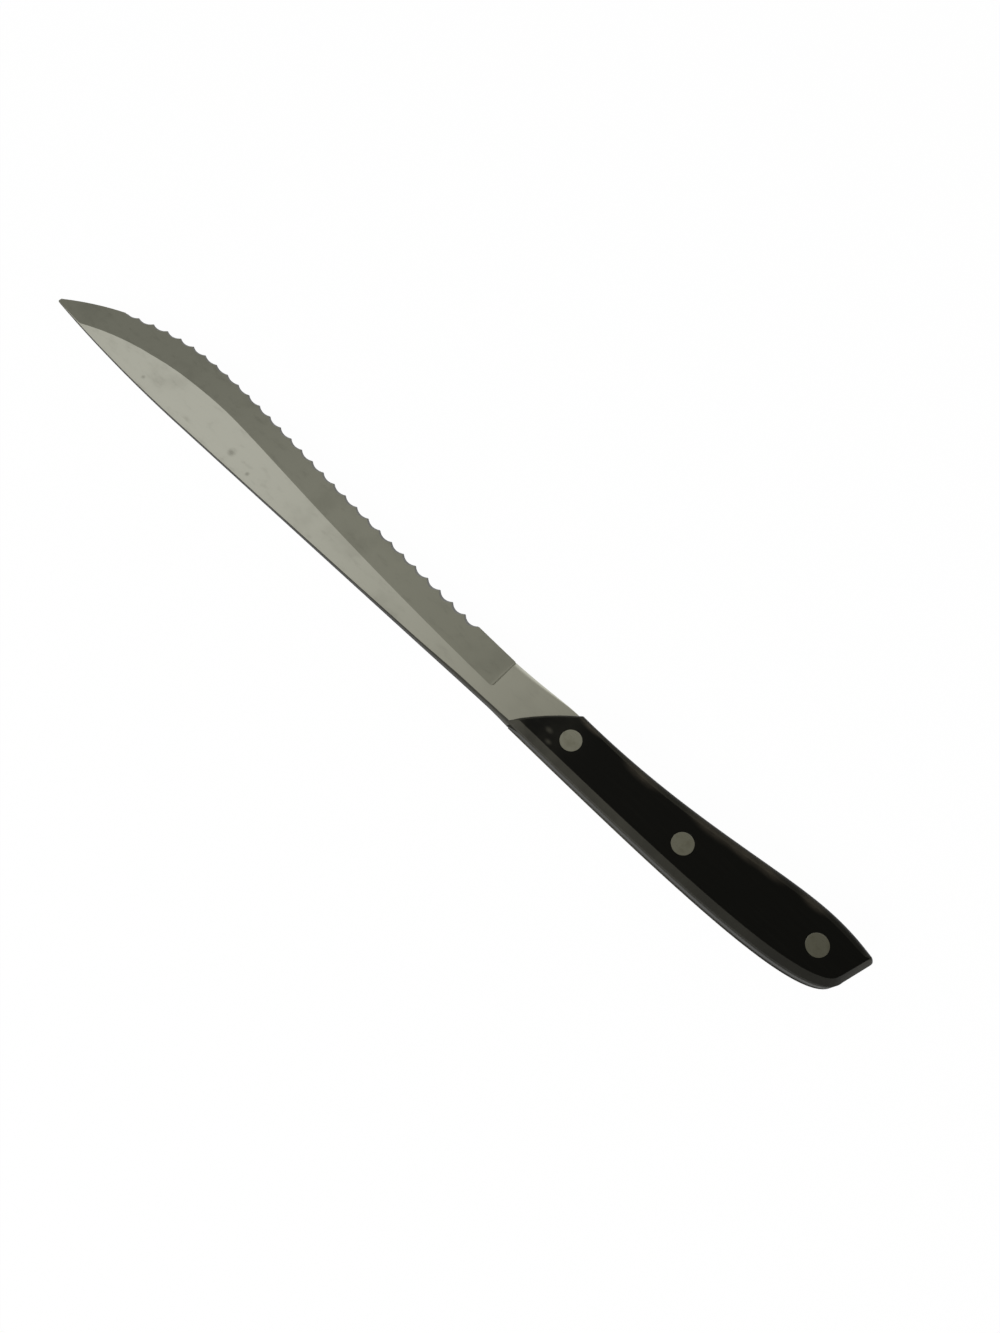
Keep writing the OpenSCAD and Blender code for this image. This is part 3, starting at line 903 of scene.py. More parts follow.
@dataclass
class Blade:
    """Blade, ricasso and tang: one piece of ground steel, in millimetres."""

    handle: Handle  # Outline of the handle, which the tang fills.
    length: float = 155.6  # From the middle of the handle's front to the point.
    heel_w: float = 10.86  # Width at the heel.
    belly_w: float = 16.66  # Width at the belly.
    belly_back: float = 39.7  # Distance of the belly's widest place behind the point.
    point_drop: float = 2.5  # Fall of the spine at the point.
    point_drop_len: float = 46.5  # Length over which the spine falls.
    point_nose: float = 0.8  # Height of the blunt nose.
    steel_t: float = 2.0  # Thickness of the tang, the ricasso and the heel.
    point_t: float = 0.9  # Thickness that the blade tapers to.
    edge_t: float = 0.3  # Thickness left at the edge.
    ricasso_len: float = 12.9  # Length of the ricasso.
    ricasso_w: float = 10.66  # Width of the ricasso where it meets the grind.
    plunge_len: float = 0.8  # Length over which the grind runs out.
    heel_bevel: float = 7.5  # Width of the bevel at the heel.
    waist_bevel: float = 6.75  # Width of the bevel behind the belly.
    full_bevel: float = 7.8  # Width of the bevel ahead of the belly.
    point_bevel: float = 6.8  # Width of the bevel at the point.
    tooth_pitch: float = 3.9  # Distance from tooth to tooth.
    tooth_depth: float = 0.62  # Depth of a scallop.
    tooth_land: float = 0.2  # Flat left on a tooth.
    plain_heel: float = 10.85  # Plain edge behind the first tooth.
    plain_point: float = 17.7  # Distance from the last full tooth to the point.
    end_scallop_share: float = 0.72  # Width of the last, narrow scallop, as a share of the others.
    # Depth of the scallops along their run, as shares of the run and the depth.
    depth_shares: tuple[tuple[float, float], ...] = (
        (0.0, 1.4),
        (0.12, 1.3),
        (0.22, 1.03),
        (0.5, 1.0),
        (0.65, 0.88),
        (0.77, 0.7),
        (0.86, 1.05),
        (1.0, 1.05),
    )
    scallop_lean: float = 50.0  # Lean of the scallop grind, in degrees.
    # Width of the spine's rounded corners, at places along the blade.
    spine_round: tuple[tuple[float, float], ...] = (
        (5.0, 1.3),
        (8.5, 0.8),
        (12.0, 0.55),
        (20.0, 0.6),
        (30.0, 0.35),
        (50.0, 0.2),
        (80.0, 0.1),
    )
    spine_round_rise: float = 0.55  # Height of that rounding, as a share of its width.
    spine_lift: float = 0.42  # Rise of the spine where it meets the handle.
    # Width and height of the eased lower corners of the ricasso.
    ricasso_ease: tuple[float, float] = (1.4, 0.5)
    tang_ease: float = 0.06  # Width of the eased corners of the tang.
    nose_share: float = 0.55  # How far from the spine the point's nose is centred.
    nose_flat: float = 0.5  # Last, flat part of the nose, as a share of a step.
    ricasso_shares: Shares = ((0.25, -1.0), (0.5, 1.0))  # Bend of the ricasso's lower side.
    recurve_shares: Shares = ((0.69, 0.43), (0.745, 1.0))  # Bend of the hollow edge.
    belly_shares: Shares = ((0.3, 0.0), (0.68, 0.3))  # Bend of the full edge.
    bevel_waist_share: float = 0.84  # Place of the bevel's waist between heel and belly.
    bevel_full_share: float = 0.29  # Place of the full bevel between belly and point.
    plunge_start_share: float = 0.88  # Share of the heel's bevel that the plunge begins with.
    grind_limit_share: float = 0.96  # Share of the blade's width that the bevel may take up.
    scallop_steps: int = 12  # Steps along a scallop.
    plain_steps: int = 30  # Steps along the plain edge at the heel, and by the point.
    ricasso_steps: int = 16  # Steps along the ricasso.
    plunge_steps: int = 14  # Steps along the plunge.
    nose_steps: int = 4  # Steps round the nose.

    @property
    def heel_x(self) -> float:
        """Return where the grind is full."""
        return self.ricasso_len + self.plunge_len

    @property
    def belly_x(self) -> float:
        """Return where the blade is widest."""
        return self.length - self.belly_back

    @cached_property
    def recurve(self) -> Sweep:
        """Return the hollow stretch of the edge, from the heel to the belly."""
        heel = Vector((self.heel_x, -self.heel_w))
        return Sweep(heel, Vector((self.belly_x, -self.belly_w)), self.recurve_shares)

    @cached_property
    def belly(self) -> Sweep:
        """Return the full stretch of the edge, from the belly to the point."""
        point = Vector((self.length, -self.point_drop - self.point_nose))
        return Sweep(Vector((self.belly_x, -self.belly_w)), point, self.belly_shares)

    @property
    def first_tooth(self) -> float:
        """Return where the serrated run begins."""
        return self.heel_x + self.plain_heel

    @property
    def last_tooth(self) -> float:
        """Return where the serrated run ends."""
        return self.length - self.plain_point

    def edge_y(self, x: float) -> float:
        """Return the height of the plain edge at x."""
        return (self.recurve if x < self.belly_x else self.belly).height(x)

    def spine_y(self, x: float) -> float:
        """Return the height of the spine at x."""
        return -self.point_drop * max(0.0, 1 - (self.length - x) / self.point_drop_len) ** 2

    def bevel_w(self, x: float) -> float:
        """Return the width of the ground bevel at x."""
        waist = mix(self.heel_x, self.belly_x, self.bevel_waist_share)
        full = mix(self.belly_x, self.length, self.bevel_full_share)
        if x < waist:
            narrowed = ease((x - self.heel_x) / (waist - self.heel_x))
            return mix(self.heel_bevel, self.waist_bevel, narrowed)
        if x < full:
            return mix(self.waist_bevel, self.full_bevel, ease((x - waist) / (full - waist)))
        return mix(self.full_bevel, self.point_bevel, (x - full) / (self.length - full))

    def back_ease(self, x: float, room: float = math.inf) -> tuple[float, float]:
        """Return the width and height of the spine's rounding at x, where it has that much room."""
        width = min(trace(self.spine_round, x), room)
        return width, self.spine_round_rise * width

    def half_t(self, x: float) -> float:
        """Return half the thickness of the tapered steel at x."""
        return mix(self.steel_t, self.point_t, (x - self.heel_x) / (self.length - self.heel_x)) / 2

    def flat_section(
        self, back: Vector, edge: Vector, back_ease: tuple[float, float], eased: float = 0.0
    ) -> Section:
        """Return a section of the unground tang or ricasso.

        Args:
            back: Its place on the back.
            edge: Its place on the lower side.
            back_ease: Width and height of the rounded corners of its back.
            eased: How far its lower corners are eased, from 0 on the tang to 1 at the grind.

        Returns:
            The section.
        """
        share = self.plunge_start_share * self.heel_bevel / self.heel_w
        half = self.steel_t / 2
        width, height = (max(self.tang_ease, size * eased) for size in self.ricasso_ease)
        return Section(
            back,
            edge,
            share * (back - edge).length,
            (half, half, half),
            back_ease,
            (width, height),
            0.0,
        )

    def plunge_section(self, t: float) -> Section:
        """Return a section at share t of the plunge, where the grind runs out into the ricasso."""
        x = mix(self.ricasso_len, self.heel_x, t)
        depth = t * (2 - t)
        bevel = self.heel_bevel * mix(self.plunge_start_share, 1.0, math.sqrt(depth))
        edge = Vector((x, -mix(self.ricasso_w, self.heel_w, ease(t))))
        half = self.steel_t / 2
        edge_half = mix(half, self.edge_t / 2, depth)
        return Section(
            Vector((x, 0.0)),
            edge,
            bevel * -edge.y / self.heel_w,
            (half, half, edge_half),
            self.back_ease(x),
            self.ricasso_ease,
            depth,
        )

    @cached_property
    def scallops(self) -> list[tuple[float, float, float]]:
        """Return the start, the end and the depth of each scallop, the narrow one last."""
        run = self.last_tooth - self.first_tooth
        count = round(run / self.tooth_pitch)
        widths = [1.0] * count + [self.end_scallop_share]
        step = run / count
        return [
            (
                self.first_tooth + i * step,
                self.first_tooth + (i + width) * step,
                self.tooth_depth * trace(self.depth_shares, i / count) * width**2,
            )
            for i, width in enumerate(widths)
        ]

    def scallop_at(self, x: float) -> tuple[Vector, Vector, float]:
        """Work out the nearest scallop.

        Args:
            x: Place along the blade.

        Returns:
            The place on the line between its two teeth, the inward direction, and how far in the
            leaning wheel reaches at the middle of the edge, which is below 0 beside the scallop.
        """
        near, far, full_depth = next((s for s in self.scallops if x < s[1]), self.scallops[-1])
        start, end = (Vector((at, self.edge_y(at))) for at in (near, far))
        span = end - start
        lean = math.cos(math.radians(self.scallop_lean))
        chord = span.length - self.tooth_land
        depth = full_depth * lean
        radius = (chord**2 / 4 + depth**2) / (2 * depth)
        t = (x - start.x) / span.x
        reach = min(radius, abs(t - 0.5) * span.length)
        drop = radius - math.sqrt(radius**2 - reach**2)
        inward = Vector((-span.y, span.x)) / span.length
        base = start + span * t if 0 <= t <= 1 else Vector((x, self.edge_y(x)))
        return base, inward, (depth - drop) / lean

    def ground_section(self, x: float) -> Section:
        """Return a section of the ground blade at x, scalloped where the teeth are."""
        base, inward, reach = self.scallop_at(x)
        back = Vector((base.x, self.spine_y(base.x)))
        width = (back - base).length
        bevel = self.bevel_w(x)
        grind = min(bevel, self.grind_limit_share * width)
        lip = self.edge_t / 2
        slope = (self.half_t(x) - lip) / bevel
        lean = math.tan(math.radians(self.scallop_lean))
        right = max(0.0, (reach + self.edge_t * lean) / (1 - slope * lean))
        left = max(0.0, reach) / (1 + slope * lean)
        return Section(
            back,
            base,
            grind,
            (lip + slope * min(bevel, width), lip + slope * grind, lip),
            self.back_ease(x, (width - grind) / 2),
            cuts=(right, left),
            inward=inward,
        )

    def stations(self) -> list[float]:
        """Return the places along the ground blade at which it gets a section."""
        land = self.tooth_land / 2
        teeth = []
        for start, end, _ in self.scallops:
            steps = [mix(start + land, end - land, t) for t in even(self.scallop_steps)]
            teeth += [start] + steps
        plain_from = self.scallops[-1][1]
        plain_to = self.length - self.point_nose / 2
        quarters = [t * math.pi / 2 for t in even(self.plain_steps)]
        heel = [mix(self.heel_x, self.first_tooth, math.sin(turn)) for turn in quarters[1:-1]]
        point = [mix(plain_from, plain_to, 1 - math.cos(turn)) for turn in quarters]
        return heel + teeth + point

    def nose_rings(self, last: Section) -> list[list[Vector]]:
        """Return the shrinking rings that round off the point."""
        middle = last.back.lerp(last.edge, self.nose_share)
        centre = Vector((middle.x, middle.y, 0.0))
        rings = []
        for i in range(1, self.nose_steps + 1):
            turn = math.pi / 2 * i / (self.nose_steps + self.nose_flat)
            ahead = Vector((self.point_nose / 2 * math.sin(turn), 0.0, 0.0))
            rings.append([centre + (p - centre) * math.cos(turn) + ahead for p in last.ring()])
        return rings

    def sections(self) -> list[Section]:
        """Return every section from the butt to the point."""
        backs, edges = self.handle.back_rail, self.handle.edge_rail
        tang = [
            self.flat_section(backs[i], edges[i], (self.tang_ease, self.tang_ease))
            for i in range(len(backs) - 1, self.handle.front_steps, -1)
        ]
        end = Vector((self.ricasso_len, 0.0))
        under_end = Vector((self.ricasso_len, -self.ricasso_w))
        under = Sweep(self.handle.front_edge, under_end, self.ricasso_shares)
        ricasso = []
        for t in even(self.ricasso_steps)[:-1]:
            lift = Vector((0.0, self.spine_lift * (1 - t) ** 2))
            back = self.handle.front_back.lerp(end, t) + lift
            ricasso.append(self.flat_section(back, under.at(t), self.back_ease(back.x), ease(t)))
        plunge = [self.plunge_section(t) for t in even(self.plunge_steps)]
        return tang + ricasso + plunge + [self.ground_section(x) for x in self.stations()]

    def in_handle(self, face: BMFace) -> bool:
        """Return whether a face lies wholly behind the handle's front."""
        front = self.handle.front_back
        across = self.handle.front_edge - front
        return all(across.cross(v.co.xy - front) < Workpiece.WELD for v in face.verts)

    def mark_zones(self, work: Workpiece) -> None:
        """Tell the spine, the bevel and the tooth grinds apart, and keep the grind line crisp."""
        grind, foot = Section.GRIND, Section.FOOT
        work.mesh.normal_update()
        for face in work.mesh.faces:
            rails = Section.ranks(v[work.rail] for v in face.verts)
            ahead = min(v.co.x for v in face.verts) > self.ricasso_len - Workpiece.WELD
            edge_on = abs(face.normal.z) < 1 - Workpiece.WELD
            if rails == {Section.SPINE} or edge_on and self.in_handle(face):
                face[work.zone] = Zone.RIM
            # The spine's rounding takes the tooth grinds' colour, which is painted shade.
            elif max(rails) <= Section.ROUNDING:
                face[work.zone] = Zone.TOOTH
            elif rails == {foot}:
                face[work.zone] = Zone.TOOTH if ahead else Zone.RIM
            elif ahead and min(rails) >= grind:
                face[work.zone] = Zone.GRIND
        for edge in work.mesh.edges:
            if Section.ranks(v[work.rail] for v in edge.verts) in ({grind}, {foot}):
                edge.smooth = False

    def drill(self, work: Workpiece, places: Sequence[Vector], radius: float) -> None:
        """Open the rivet holes through the tang.

        Args:
            work: The lofted steel.
            places: Middles of the holes.
            radius: Half width of a hole.
        """
        half = self.steel_t / 2
        mouths = [work.bore(p, [(radius, half), (radius, -half)]) for p in places]
        for flank in Flank:
            flat = [
                face
                for face in work.mesh.faces
                if all(abs(v.co.z - half * flank.value) < Workpiece.WELD for v in face.verts)
                and self.in_handle(face)
            ]
            rim = [e for f in flat for e in f.edges if sum(g in flat for g in e.link_faces) == 1]
            bmesh.ops.delete(work.mesh, geom=flat, context="FACES")
            holes = [e for pair in mouths for e in pair[0 if flank is Flank.RIGHT else 1]]
            work.cover([e for e in rim if e.is_valid] + holes)

    def build(
        self, material: bpy.types.Material, stand: Vector, holes: Sequence[Vector], radius: float
    ) -> None:
        """Build the steel.

        Args:
            material: Its finish.
            stand: Where the drawing stands in the frame.
            holes: Middles of the rivet holes.
            radius: Half width of a rivet hole.
        """
        work = Workpiece()
        sections = self.sections()
        rings = [section.ring() for section in sections] + self.nose_rings(sections[-1])
        for end in work.draw_out(rings):
            bmesh.ops.edgeloop_fill(work.mesh, edges=end)
        self.mark_zones(work)
        self.drill(work, holes, radius)
        work.deliver("knife_blade", "blade", material, stand)


@dataclass
class Scale:
    """One handle scale: flat against the tang, its face rounded and bored for the rivet heads."""

    handle: Handle  # Outline of the handle.
    flank: Flank  # Side of the blade that the scale lies on.
    inner: float  # Distance of its flat from the middle of the blade, in millimetres.
    outer: float  # Distance of its face from the middle of the blade.
    round_w: float = 1.65  # Width of the rounding along the lower side.
    chamfer_w: float = 1.3  # Width of the flat chamfer along the back.
    butt_chamfer_w: float = 1.1  # Width of the flat chamfer along the butt.
    round_h: float = 1.5  # Height of the rounding and the chamfers.
    front_round_w: float = 0.7  # Width of the rounding along the front.
    round_start_w: float = 1.1  # Width at which the rounding of the lower side begins at the front.
    round_end_w: float = 0.9  # Width that it has shrunk to at the butt.
    growth: float = 0.16  # Share of the lower side over which the rounding grows to its full width.
    waning: float = 0.2  # Share of the lower side over which it shrinks towards the butt.
    # Share of the butt's rounded corner that is left where it meets the face.
    inner_corner_share: float = 0.25
    seam_ease: float = 0.06  # Width of the eased corner along the tang.
    # Steps of the outline over which the front's rounding turns into the chamfer.
    turn_steps: int = 2
    steps: int = 10  # Levels of the rounding.

    @cached_property
    def outline(self) -> list[Vector]:
        """Return the outline, along the back and home along the lower side."""
        return self.handle.back_rail + self.handle.edge_rail[:0:-1]

    @cached_property
    def widths(self) -> list[float]:
        """Return the width of the chamfer or rounding beside each edge of the outline."""
        end = len(self.handle.back_rail) - 1
        front = self.handle.front_steps
        widths = []
        for i in range(len(self.outline)):
            side = i if i < end else 2 * end - i
            grown = ease((side - front) / (end * self.growth))
            waned = ease((end - side) / (end * self.waning))
            if side < front:
                widths.append(self.front_round_w)
            elif i < end:
                widths.append(self.chamfer_w)
            elif i == end:
                widths.append(self.butt_chamfer_w)
            else:
                full_w = mix(self.round_start_w, self.round_w, grown)
                widths.append(mix(self.round_end_w, full_w, waned))
        return widths

    def flatness(self, i: int) -> float:
        """Return how flat corner i goes up, from 0 on a rounding to 1 on a chamfer."""
        last = len(self.handle.back_rail) + self.handle.corner_steps
        into = (i - self.handle.front_steps + 1) / self.turn_steps
        return max(0.0, min(into, 1.0, (last - i) / self.handle.corner_steps))

    @staticmethod
    def mitre(before: Vector, corner: Vector, after: Vector, w1: float, w2: float) -> Vector:
        """Return the step inwards of a corner whose two edges move in by w1 and w2."""
        runs = ((corner - before).normalized(), (after - corner).normalized())
        n1, n2 = (Vector((-run.y, run.x)) for run in runs)
        turn = n1.x * n2.y - n1.y * n2.x
        if abs(turn) < STRAIGHT:
            return (n1 + n2) * (w1 + w2) / 4
        return Vector((w1 * n2.y - w2 * n1.y, w2 * n1.x - w1 * n2.x)) / turn

    @cached_property
    def insets(self) -> list[Vector]:
        """Return each corner's whole step inwards, from the wall to the face."""
        handle, outline, widths = self.handle, self.outline, self.widths
        corner = handle.butt_edge
        butt = self.mitre(
            handle.butt_back, corner, handle.corner_before, self.butt_chamfer_w, self.round_end_w
        )
        first = len(handle.back_rail)
        steps = []
        for i, place in enumerate(outline):
            if first <= i <= first + handle.corner_steps:
                steps.append((corner - place) * (1 - self.inner_corner_share) + butt)
            else:
                after = outline[(i + 1) % len(outline)]
                steps.append(self.mitre(outline[i - 1], place, after, widths[i - 1], widths[i]))
        return steps

    def level(self, height: float, share: float, extra: float = 0.0) -> list[Vector]:
        """Return one level of the scale's wall.

        Args:
            height: Its distance from the middle of the blade.
            share: How far up the rounding it lies, from 0 to 1.
            extra: A further share of each step inwards.

        Returns:
            Its ring of places.
        """
        bend = 1 - math.sqrt(1 - share * share)
        ring = []
        for i, (place, step) in enumerate(zip(self.outline, self.insets)):
            moved = place + step * (mix(bend, share, self.flatness(i)) + extra)
            ring.append(Vector((moved.x, moved.y, height * self.flank.value)))
        return ring

    def build(
        self,
        node: str,
        material: bpy.types.Material,
        stand: Vector,
        holes: Sequence[Vector],
        bores: Sequence[tuple[float, float]],
    ) -> None:
        """Build the scale.

        Args:
            node: The CAD node that it stands for.
            material: Its finish.
            stand: Where the drawing stands in the frame.
            holes: Middles of the rivet holes.
            bores: Radius and height of each step of a rivet hole, from the face to the tang.
        """
        work = Workpiece()
        wall = self.outer - self.round_h
        rings = [
            self.level(self.inner, 0.0, self.seam_ease),
            self.level(self.inner + self.seam_ease, 0.0),
        ]
        for t in even(self.steps):
            share = math.sin(math.pi / 2 * t)
            rings.append(self.level(wall + self.round_h * share, min(1.0, share)))
        foot, top = work.draw_out(rings)
        for face in work.mesh.faces:
            rounded = all(abs(v.co.z) > wall - Workpiece.WELD for v in face.verts)
            face[work.zone] = Zone.RIM if rounded else Zone.WALL
        steps = [(radius, z * self.flank.value) for radius, z in bores]
        mouths = [work.bore(place, steps) for place in holes]
        for end, outline in enumerate((top, foot)):
            work.cover(outline + [e for pair in mouths for e in pair[end]])
        work.deliver("handle_" + node, node, material, stand)


class Half(Enum):
    """The two halves of a rivet."""

    PIN = "pin"
    SLEEVE = "sleeve"


@dataclass
class Rivet:
    """A two-piece cutler's rivet: a pin from the right scale in a sleeve from the left one."""

    name: str  # Which of the three rivets it is.
    head_t: float = 1.0  # Thickness of a head, in millimetres.
    pin_d: float = 2.3  # Diameter of the pin's shank.
    sleeve_d: float = 3.2  # Outer diameter of the sleeve's tube.
    fit: float = 0.03  # Clearance between pin and sleeve, and round both.
    rim_ease: float = 0.03  # Width of the eased rim of a head.
    rim_bend: float = 0.3  # Share of that width at which the rim bends.
    sharp: float = 15.0  # Angle in degrees above which its edges stay crisp.
    steps: int = 64  # Steps round the rivet.

    @property
    def hole_r(self) -> float:
        """Return the half width of the hole round the sleeve's tube."""
        return self.sleeve_d / 2 + self.fit

    def node(self, half: Half) -> str:
        """Return the name of the CAD node of one half."""
        return f"{self.name}_rivet_{half.value}"

    def reach(self, half: Half) -> tuple[Vector, Vector]:
        """Return the low and the high corner of one half, in millimetres of the frame."""
        low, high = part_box(self.node(half))
        return low / MM, high / MM

    def axis(self, half: Half) -> Vector:
        """Return the middle of one half, in millimetres of the frame."""
        low, high = self.reach(half)
        return (low + high) / 2

    def head_r(self, half: Half) -> float:
        """Return the half width of one half's head."""
        low, high = self.reach(half)
        return (high.x - low.x) / 2

    def bores(self, inner: float, outer: float) -> list[tuple[float, float]]:
        """Return the steps of its hole in a scale.

        Args:
            inner: Distance of the scale's flat from the middle of the blade, in millimetres.
            outer: Distance of its face from the middle of the blade.

        Returns:
            Radius and height of each step, from the face to the tang.
        """
        wide, seat = self.head_r(Half.PIN) + self.fit, outer - self.head_t
        return [(wide, outer), (wide, seat), (self.hole_r, seat), (self.hole_r, inner)]

    def turn(
        self, half: Half, profile: Sequence[tuple[float, float]], material: bpy.types.Material
    ) -> None:
        """Turn a half of the rivet from its profile.

        Args:
            half: Which half it is.
            profile: Radius and height of each corner, in millimetres of the frame.
            material: Its finish.
        """
        node, axis, upright = self.node(half), self.axis(half), Vector((0.0, 0.0, 1.0))
        work = Workpiece()
        verts = [work.mesh.verts.new((axis.x + r, axis.y, z)) for r, z in profile]
        edges = [work.mesh.edges.new(pair) for pair in zip(verts, verts[1:])]
        bmesh.ops.spin(
            work.mesh,
            geom=verts + edges,
            cent=axis,
            axis=upright,
            angle=math.tau,
            steps=self.steps,
            use_merge=True,
        )
        work.deliver("turned_" + node, node, material, Vector(), self.sharp)

    def head(self, half: Half, face: float, inward: float) -> list[tuple[float, float]]:
        """Return the profile of a head, from the middle of its face to its inner corner."""
        radius, wide = self.head_r(half), self.rim_ease
        bend = wide * self.rim_bend
        return [
            (0.0, face),
            (radius - wide, face),
            (radius - bend, face + inward * bend),
            (radius, face + inward * wide),
            (radius, face + inward * self.head_t),
        ]

    def build(self, material: bpy.types.Material) -> None:
        """Build both halves of the rivet with that finish."""
        shank, tube, tip = self.pin_d / 2, self.sleeve_d / 2, self.rim_ease
        low, high = (corner.z for corner in self.reach(Half.PIN))
        seat = high - self.head_t
        pin = [(shank, seat), (shank, low + tip), (shank - tip, low), (0.0, low)]
        self.turn(Half.PIN, self.head(Half.PIN, high, -1.0) + pin, material)
        low, high = (corner.z for corner in self.reach(Half.SLEEVE))
        seat, bore = low + self.head_t, shank + self.fit
        sleeve = [(tube, seat), (tube, high), (bore, high), (bore, seat), (0.0, seat)]
        self.turn(Half.SLEEVE, self.head(Half.SLEEVE, low, 1.0) + sleeve, material)


@dataclass(frozen=True)
class PaleFloor:
    """The white ground that the knife lies on, which still takes its soft shadow."""

    paper: Colour = (0.92, 0.92, 0.92, 1.0)  # Colour of the ground.
    fibre: Colour = (0.95, 0.95, 0.95, 1.0)  # Colour of its fibres.
    fibres: Pattern = Pattern((0.8, 0.8, 0.8), 3.0, 0.5)  # Pattern of the fibres.
    even: float = 0.985  # Share of the ground that looks evenly white.

    def material(self) -> bpy.types.Material:
        """Make the material of the floor."""
        graph = Graph(bpy.data.materials.new("white_paper"))
        seen = graph.node("ShaderNodeLightPath", output="Is Camera Ray")
        seen = seen.larger(seen.twin("Is Glossy Ray")).larger(seen.twin("Is Transmission Ray"))
        colour = graph.blend(self.fibres.on(graph.place()), self.paper, self.fibre)
        paper = graph.node("ShaderNodeBsdfDiffuse", None, {"Color": colour})
        white = graph.node("ShaderNodeEmission", None, {"Strength": 1.0})
        share = seen * self.even
        graph.finish(graph.node("ShaderNodeMixShader", None, {0: share, 1: paper, 2: white}))
        return graph.owner


@dataclass(frozen=True)
class Pool:
    """A pool of light on one side of the room."""

    strength: float  # Strength of the light in its middle.
    # Direction of its middle, as right, away and up from the camera.
    side: tuple[float, float, float]
    fade: float  # How fast it fades with the angle from its middle.
    bright: float = 1.0  # How much of the bright light's colour it has.


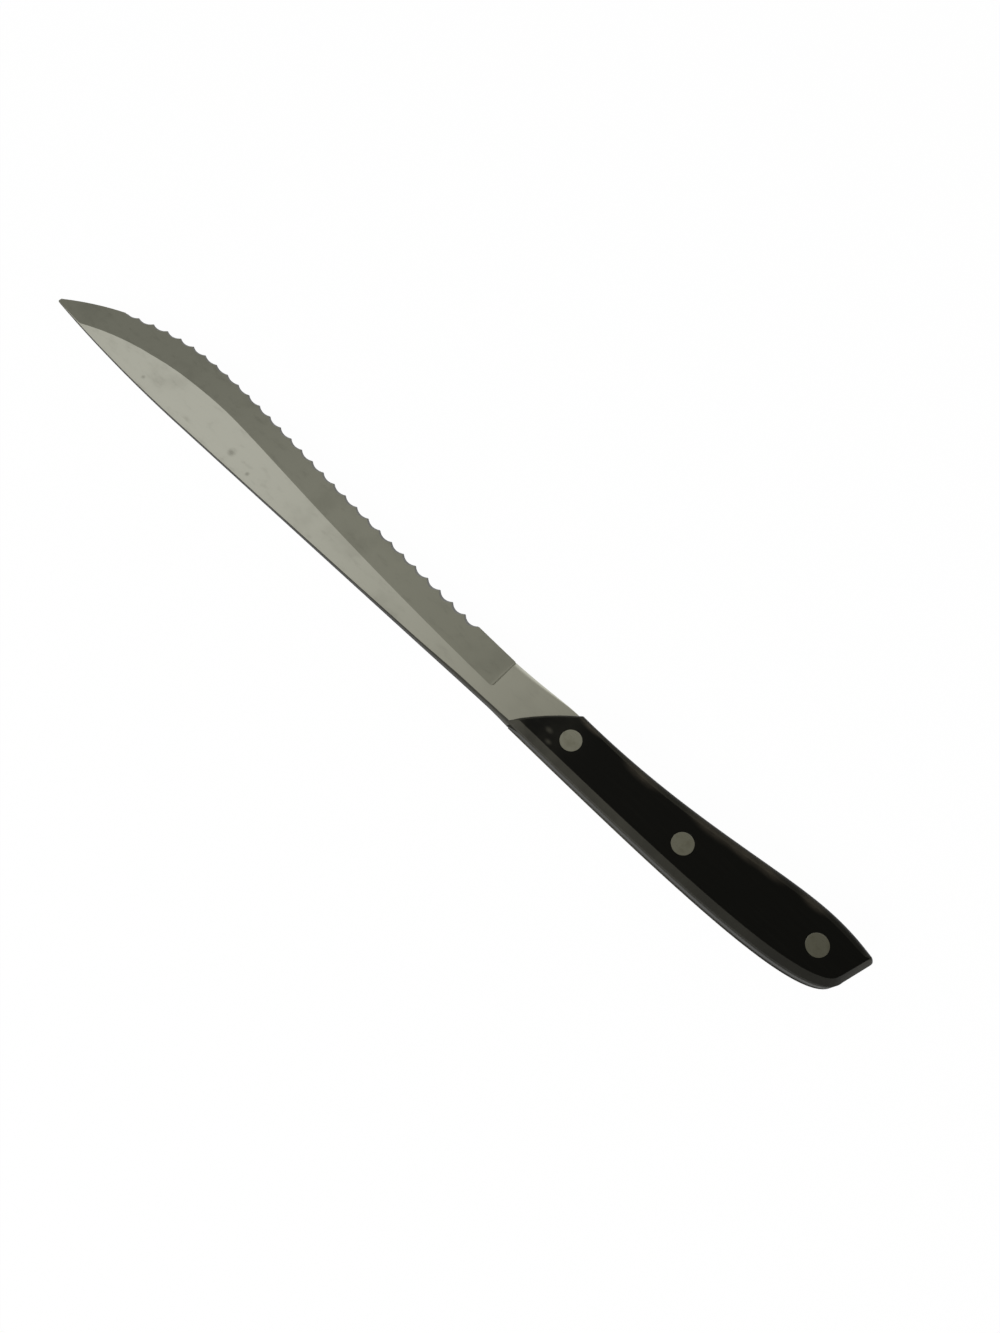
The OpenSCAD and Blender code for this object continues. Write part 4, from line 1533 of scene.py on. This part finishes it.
@dataclass
class Studio:
    """Floor, soft light and camera, set round the knife's drawing."""

    stand: Vector  # Where the drawing's origin stands in the frame, in millimetres.
    # Place at the middle of the picture, in millimetres of the drawing.
    aim: tuple[float, float, float] = (15.07, -7.935, 0.0)
    # Direction that the camera looks in, in degrees from the knife's own length.
    heading: float = -46.09
    elevation: float = 68.2  # How steeply it looks down, in degrees.
    distance: float = 221.94  # Its distance from the aim, in millimetres.
    lens: float = 29.17  # Its focal length, in millimetres.
    sensor: float = 36.0  # Width of the picture that the focal length is meant for.
    clip: float = 0.01  # Nearest distance that it sees, in metres.
    floor_half: float = 4.0  # Half width of the floor, in metres.
    floor_gap: float = 0.02  # Gap between the knife and the floor, in millimetres.
    dim: float = 0.08  # Strength of the dim parts of the room.
    # Ramp of the light low over the table, by the height looked at.
    low_glow: Ramp = (0.4, 0.0, 0.0, 0.35)
    # The high window, the bright wall behind the knife, and the wall at its back.
    pools: tuple[Pool, ...] = (
        Pool(0.76, (-0.28, 0.52, 0.76), 11.0),
        Pool(0.75, (0.594, 0.761, 0.25), 6.6),
        Pool(0.36, (-0.63, -0.65, 0.42), 5.0, 0.5),
    )
    dim_light: Colour = (1.0, 0.97, 0.78, 1.0)  # Colour of the dim parts.
    bright_light: Colour = (1.0, 1.0, 0.96, 1.0)  # Colour of the window and of the bright wall.
    # Direction of the key lamp, as right, away and up from the camera.
    key_side: tuple[float, float, float] = (-0.55, -0.60, 0.58)
    key_power: float = 16.0  # Its power in watts.
    key_size: float = 0.7  # Its width in metres.
    key_distance: float = 1.2  # Its distance in metres.

    def direction(self, right: float, away: float, up: float) -> Vector:
        """Return a direction of the frame from one seen level from the camera's side."""
        heading = math.radians(self.heading)
        ahead = Vector((math.cos(heading), math.sin(heading), 0.0))
        side = Vector((ahead.y, -ahead.x, 0.0))
        return (side * right + ahead * away + Vector((0.0, 0.0, up))).normalized()

    def lay_floor(self) -> None:
        """Lay the floor under the knife."""
        mesh = bmesh.new()
        bmesh.ops.create_grid(mesh, x_segments=1, y_segments=1, size=self.floor_half)
        low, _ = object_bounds()
        drop = low.z - self.floor_gap * MM
        bmesh.ops.translate(mesh, vec=(0.0, 0.0, drop), verts=mesh.verts)
        set_out(mesh, "floor", PaleFloor().material())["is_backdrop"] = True

    def shine(self, pool: Pool, looking: Value) -> Value:
        """Return a pool's share of its light in the direction looked in, 1 in its middle."""
        middle = tuple(self.direction(*pool.side))
        towards = looking.graph.vector("DOT_PRODUCT", looking, middle, output="Value")
        return towards.math("POWER", towards.larger(0.0), pool.fade)

    def hang(self, data: bpy.types.ID, side: Vector, away: float) -> bpy.types.Object:
        """Hang a lamp or the camera on one side of the knife, turned to the aim.

        Args:
            data: The lamp or the camera.
            side: Direction from the aim.
            away: Distance from the aim, in metres.

        Returns:
            The object that holds it.
        """
        holder = bpy.data.objects.new(data.name, data)
        holder.location = (self.stand + Vector(self.aim)) * MM + side * away
        holder.rotation_euler = side.to_track_quat("Z", "Y").to_euler()
        bpy.context.scene.collection.objects.link(holder)
        return holder

    def light_room(self) -> None:
        """Give the room its pools of light and its dim parts, and hang the key lamp."""
        world = bpy.data.worlds.new("room")
        bpy.context.scene.world = world
        graph = Graph(world)
        looking = graph.node("ShaderNodeTexCoord", output="Generated")
        up = graph.node("ShaderNodeSeparateXYZ", None, {0: looking}, output="Z")
        level, bright = self.dim + up.rise(*self.low_glow), 0.0
        for pool in self.pools:
            share = self.shine(pool, looking)
            level = level + share * pool.strength
            bright = bright + share * pool.bright
        light = graph.blend(bright, self.dim_light, self.bright_light)
        room = graph.node("ShaderNodeBackground", None, {"Color": light, "Strength": level})
        graph.finish(room, "ShaderNodeOutputWorld")

        lamp = bpy.data.lights.new("key", "AREA")
        lamp.energy = self.key_power
        lamp.size = self.key_size
        side = self.direction(*self.key_side)
        self.hang(lamp, side, self.key_distance).visible_glossy = False

    def set_camera(self) -> None:
        """Stand the camera where the photograph was taken from."""
        fall = math.radians(self.elevation)
        camera = bpy.data.cameras.new("camera")
        camera.lens = self.lens
        camera.sensor_width = self.sensor
        camera.clip_start = self.clip
        back = self.direction(0.0, -math.cos(fall), math.sin(fall))
        bpy.context.scene.camera = self.hang(camera, back, self.distance * MM)


def main() -> None:
    """Build the knife on its frame and set the studio round it."""
    logging.basicConfig(level=logging.INFO, format="%(name)s: %(message)s")
    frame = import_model()
    LOG.info("frame with %d nodes", len(frame["nodes"]))
    bpy.context.scene.view_settings.view_transform = "Standard"

    handle = Handle()
    blade = Blade(handle)
    low, high = (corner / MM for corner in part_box("blade"))
    stand = Vector((high.x - blade.length, high.y - handle.back_rise, (low.z + high.z) / 2))
    inner, outer = blade.steel_t / 2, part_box("right_scale")[1].z / MM - stand.z
    rivets = [Rivet(name) for name in ("front", "middle", "rear")]
    holes = [rivet.axis(Half.PIN) - stand for rivet in rivets]
    bores = rivets[0].bores(inner, outer)

    studio = Studio(stand)
    studio.set_camera()
    steel = SatinSteel().material(stand + Vector((0.0, 0.0, inner)))
    wood = StainedWood().material(stand + Vector((0.0, 0.0, outer)))
    rivet_steel = RivetSteel().material()

    blade.build(steel, stand, holes, rivets[0].hole_r)
    for flank, node in ((Flank.RIGHT, "right_scale"), (Flank.LEFT, "left_scale")):
        Scale(handle, flank, inner, outer).build(node, wood, stand, holes, bores)
    for rivet in rivets:
        rivet.build(rivet_steel)

    studio.lay_floor()
    studio.light_room()


if __name__ == "__main__":
    main()
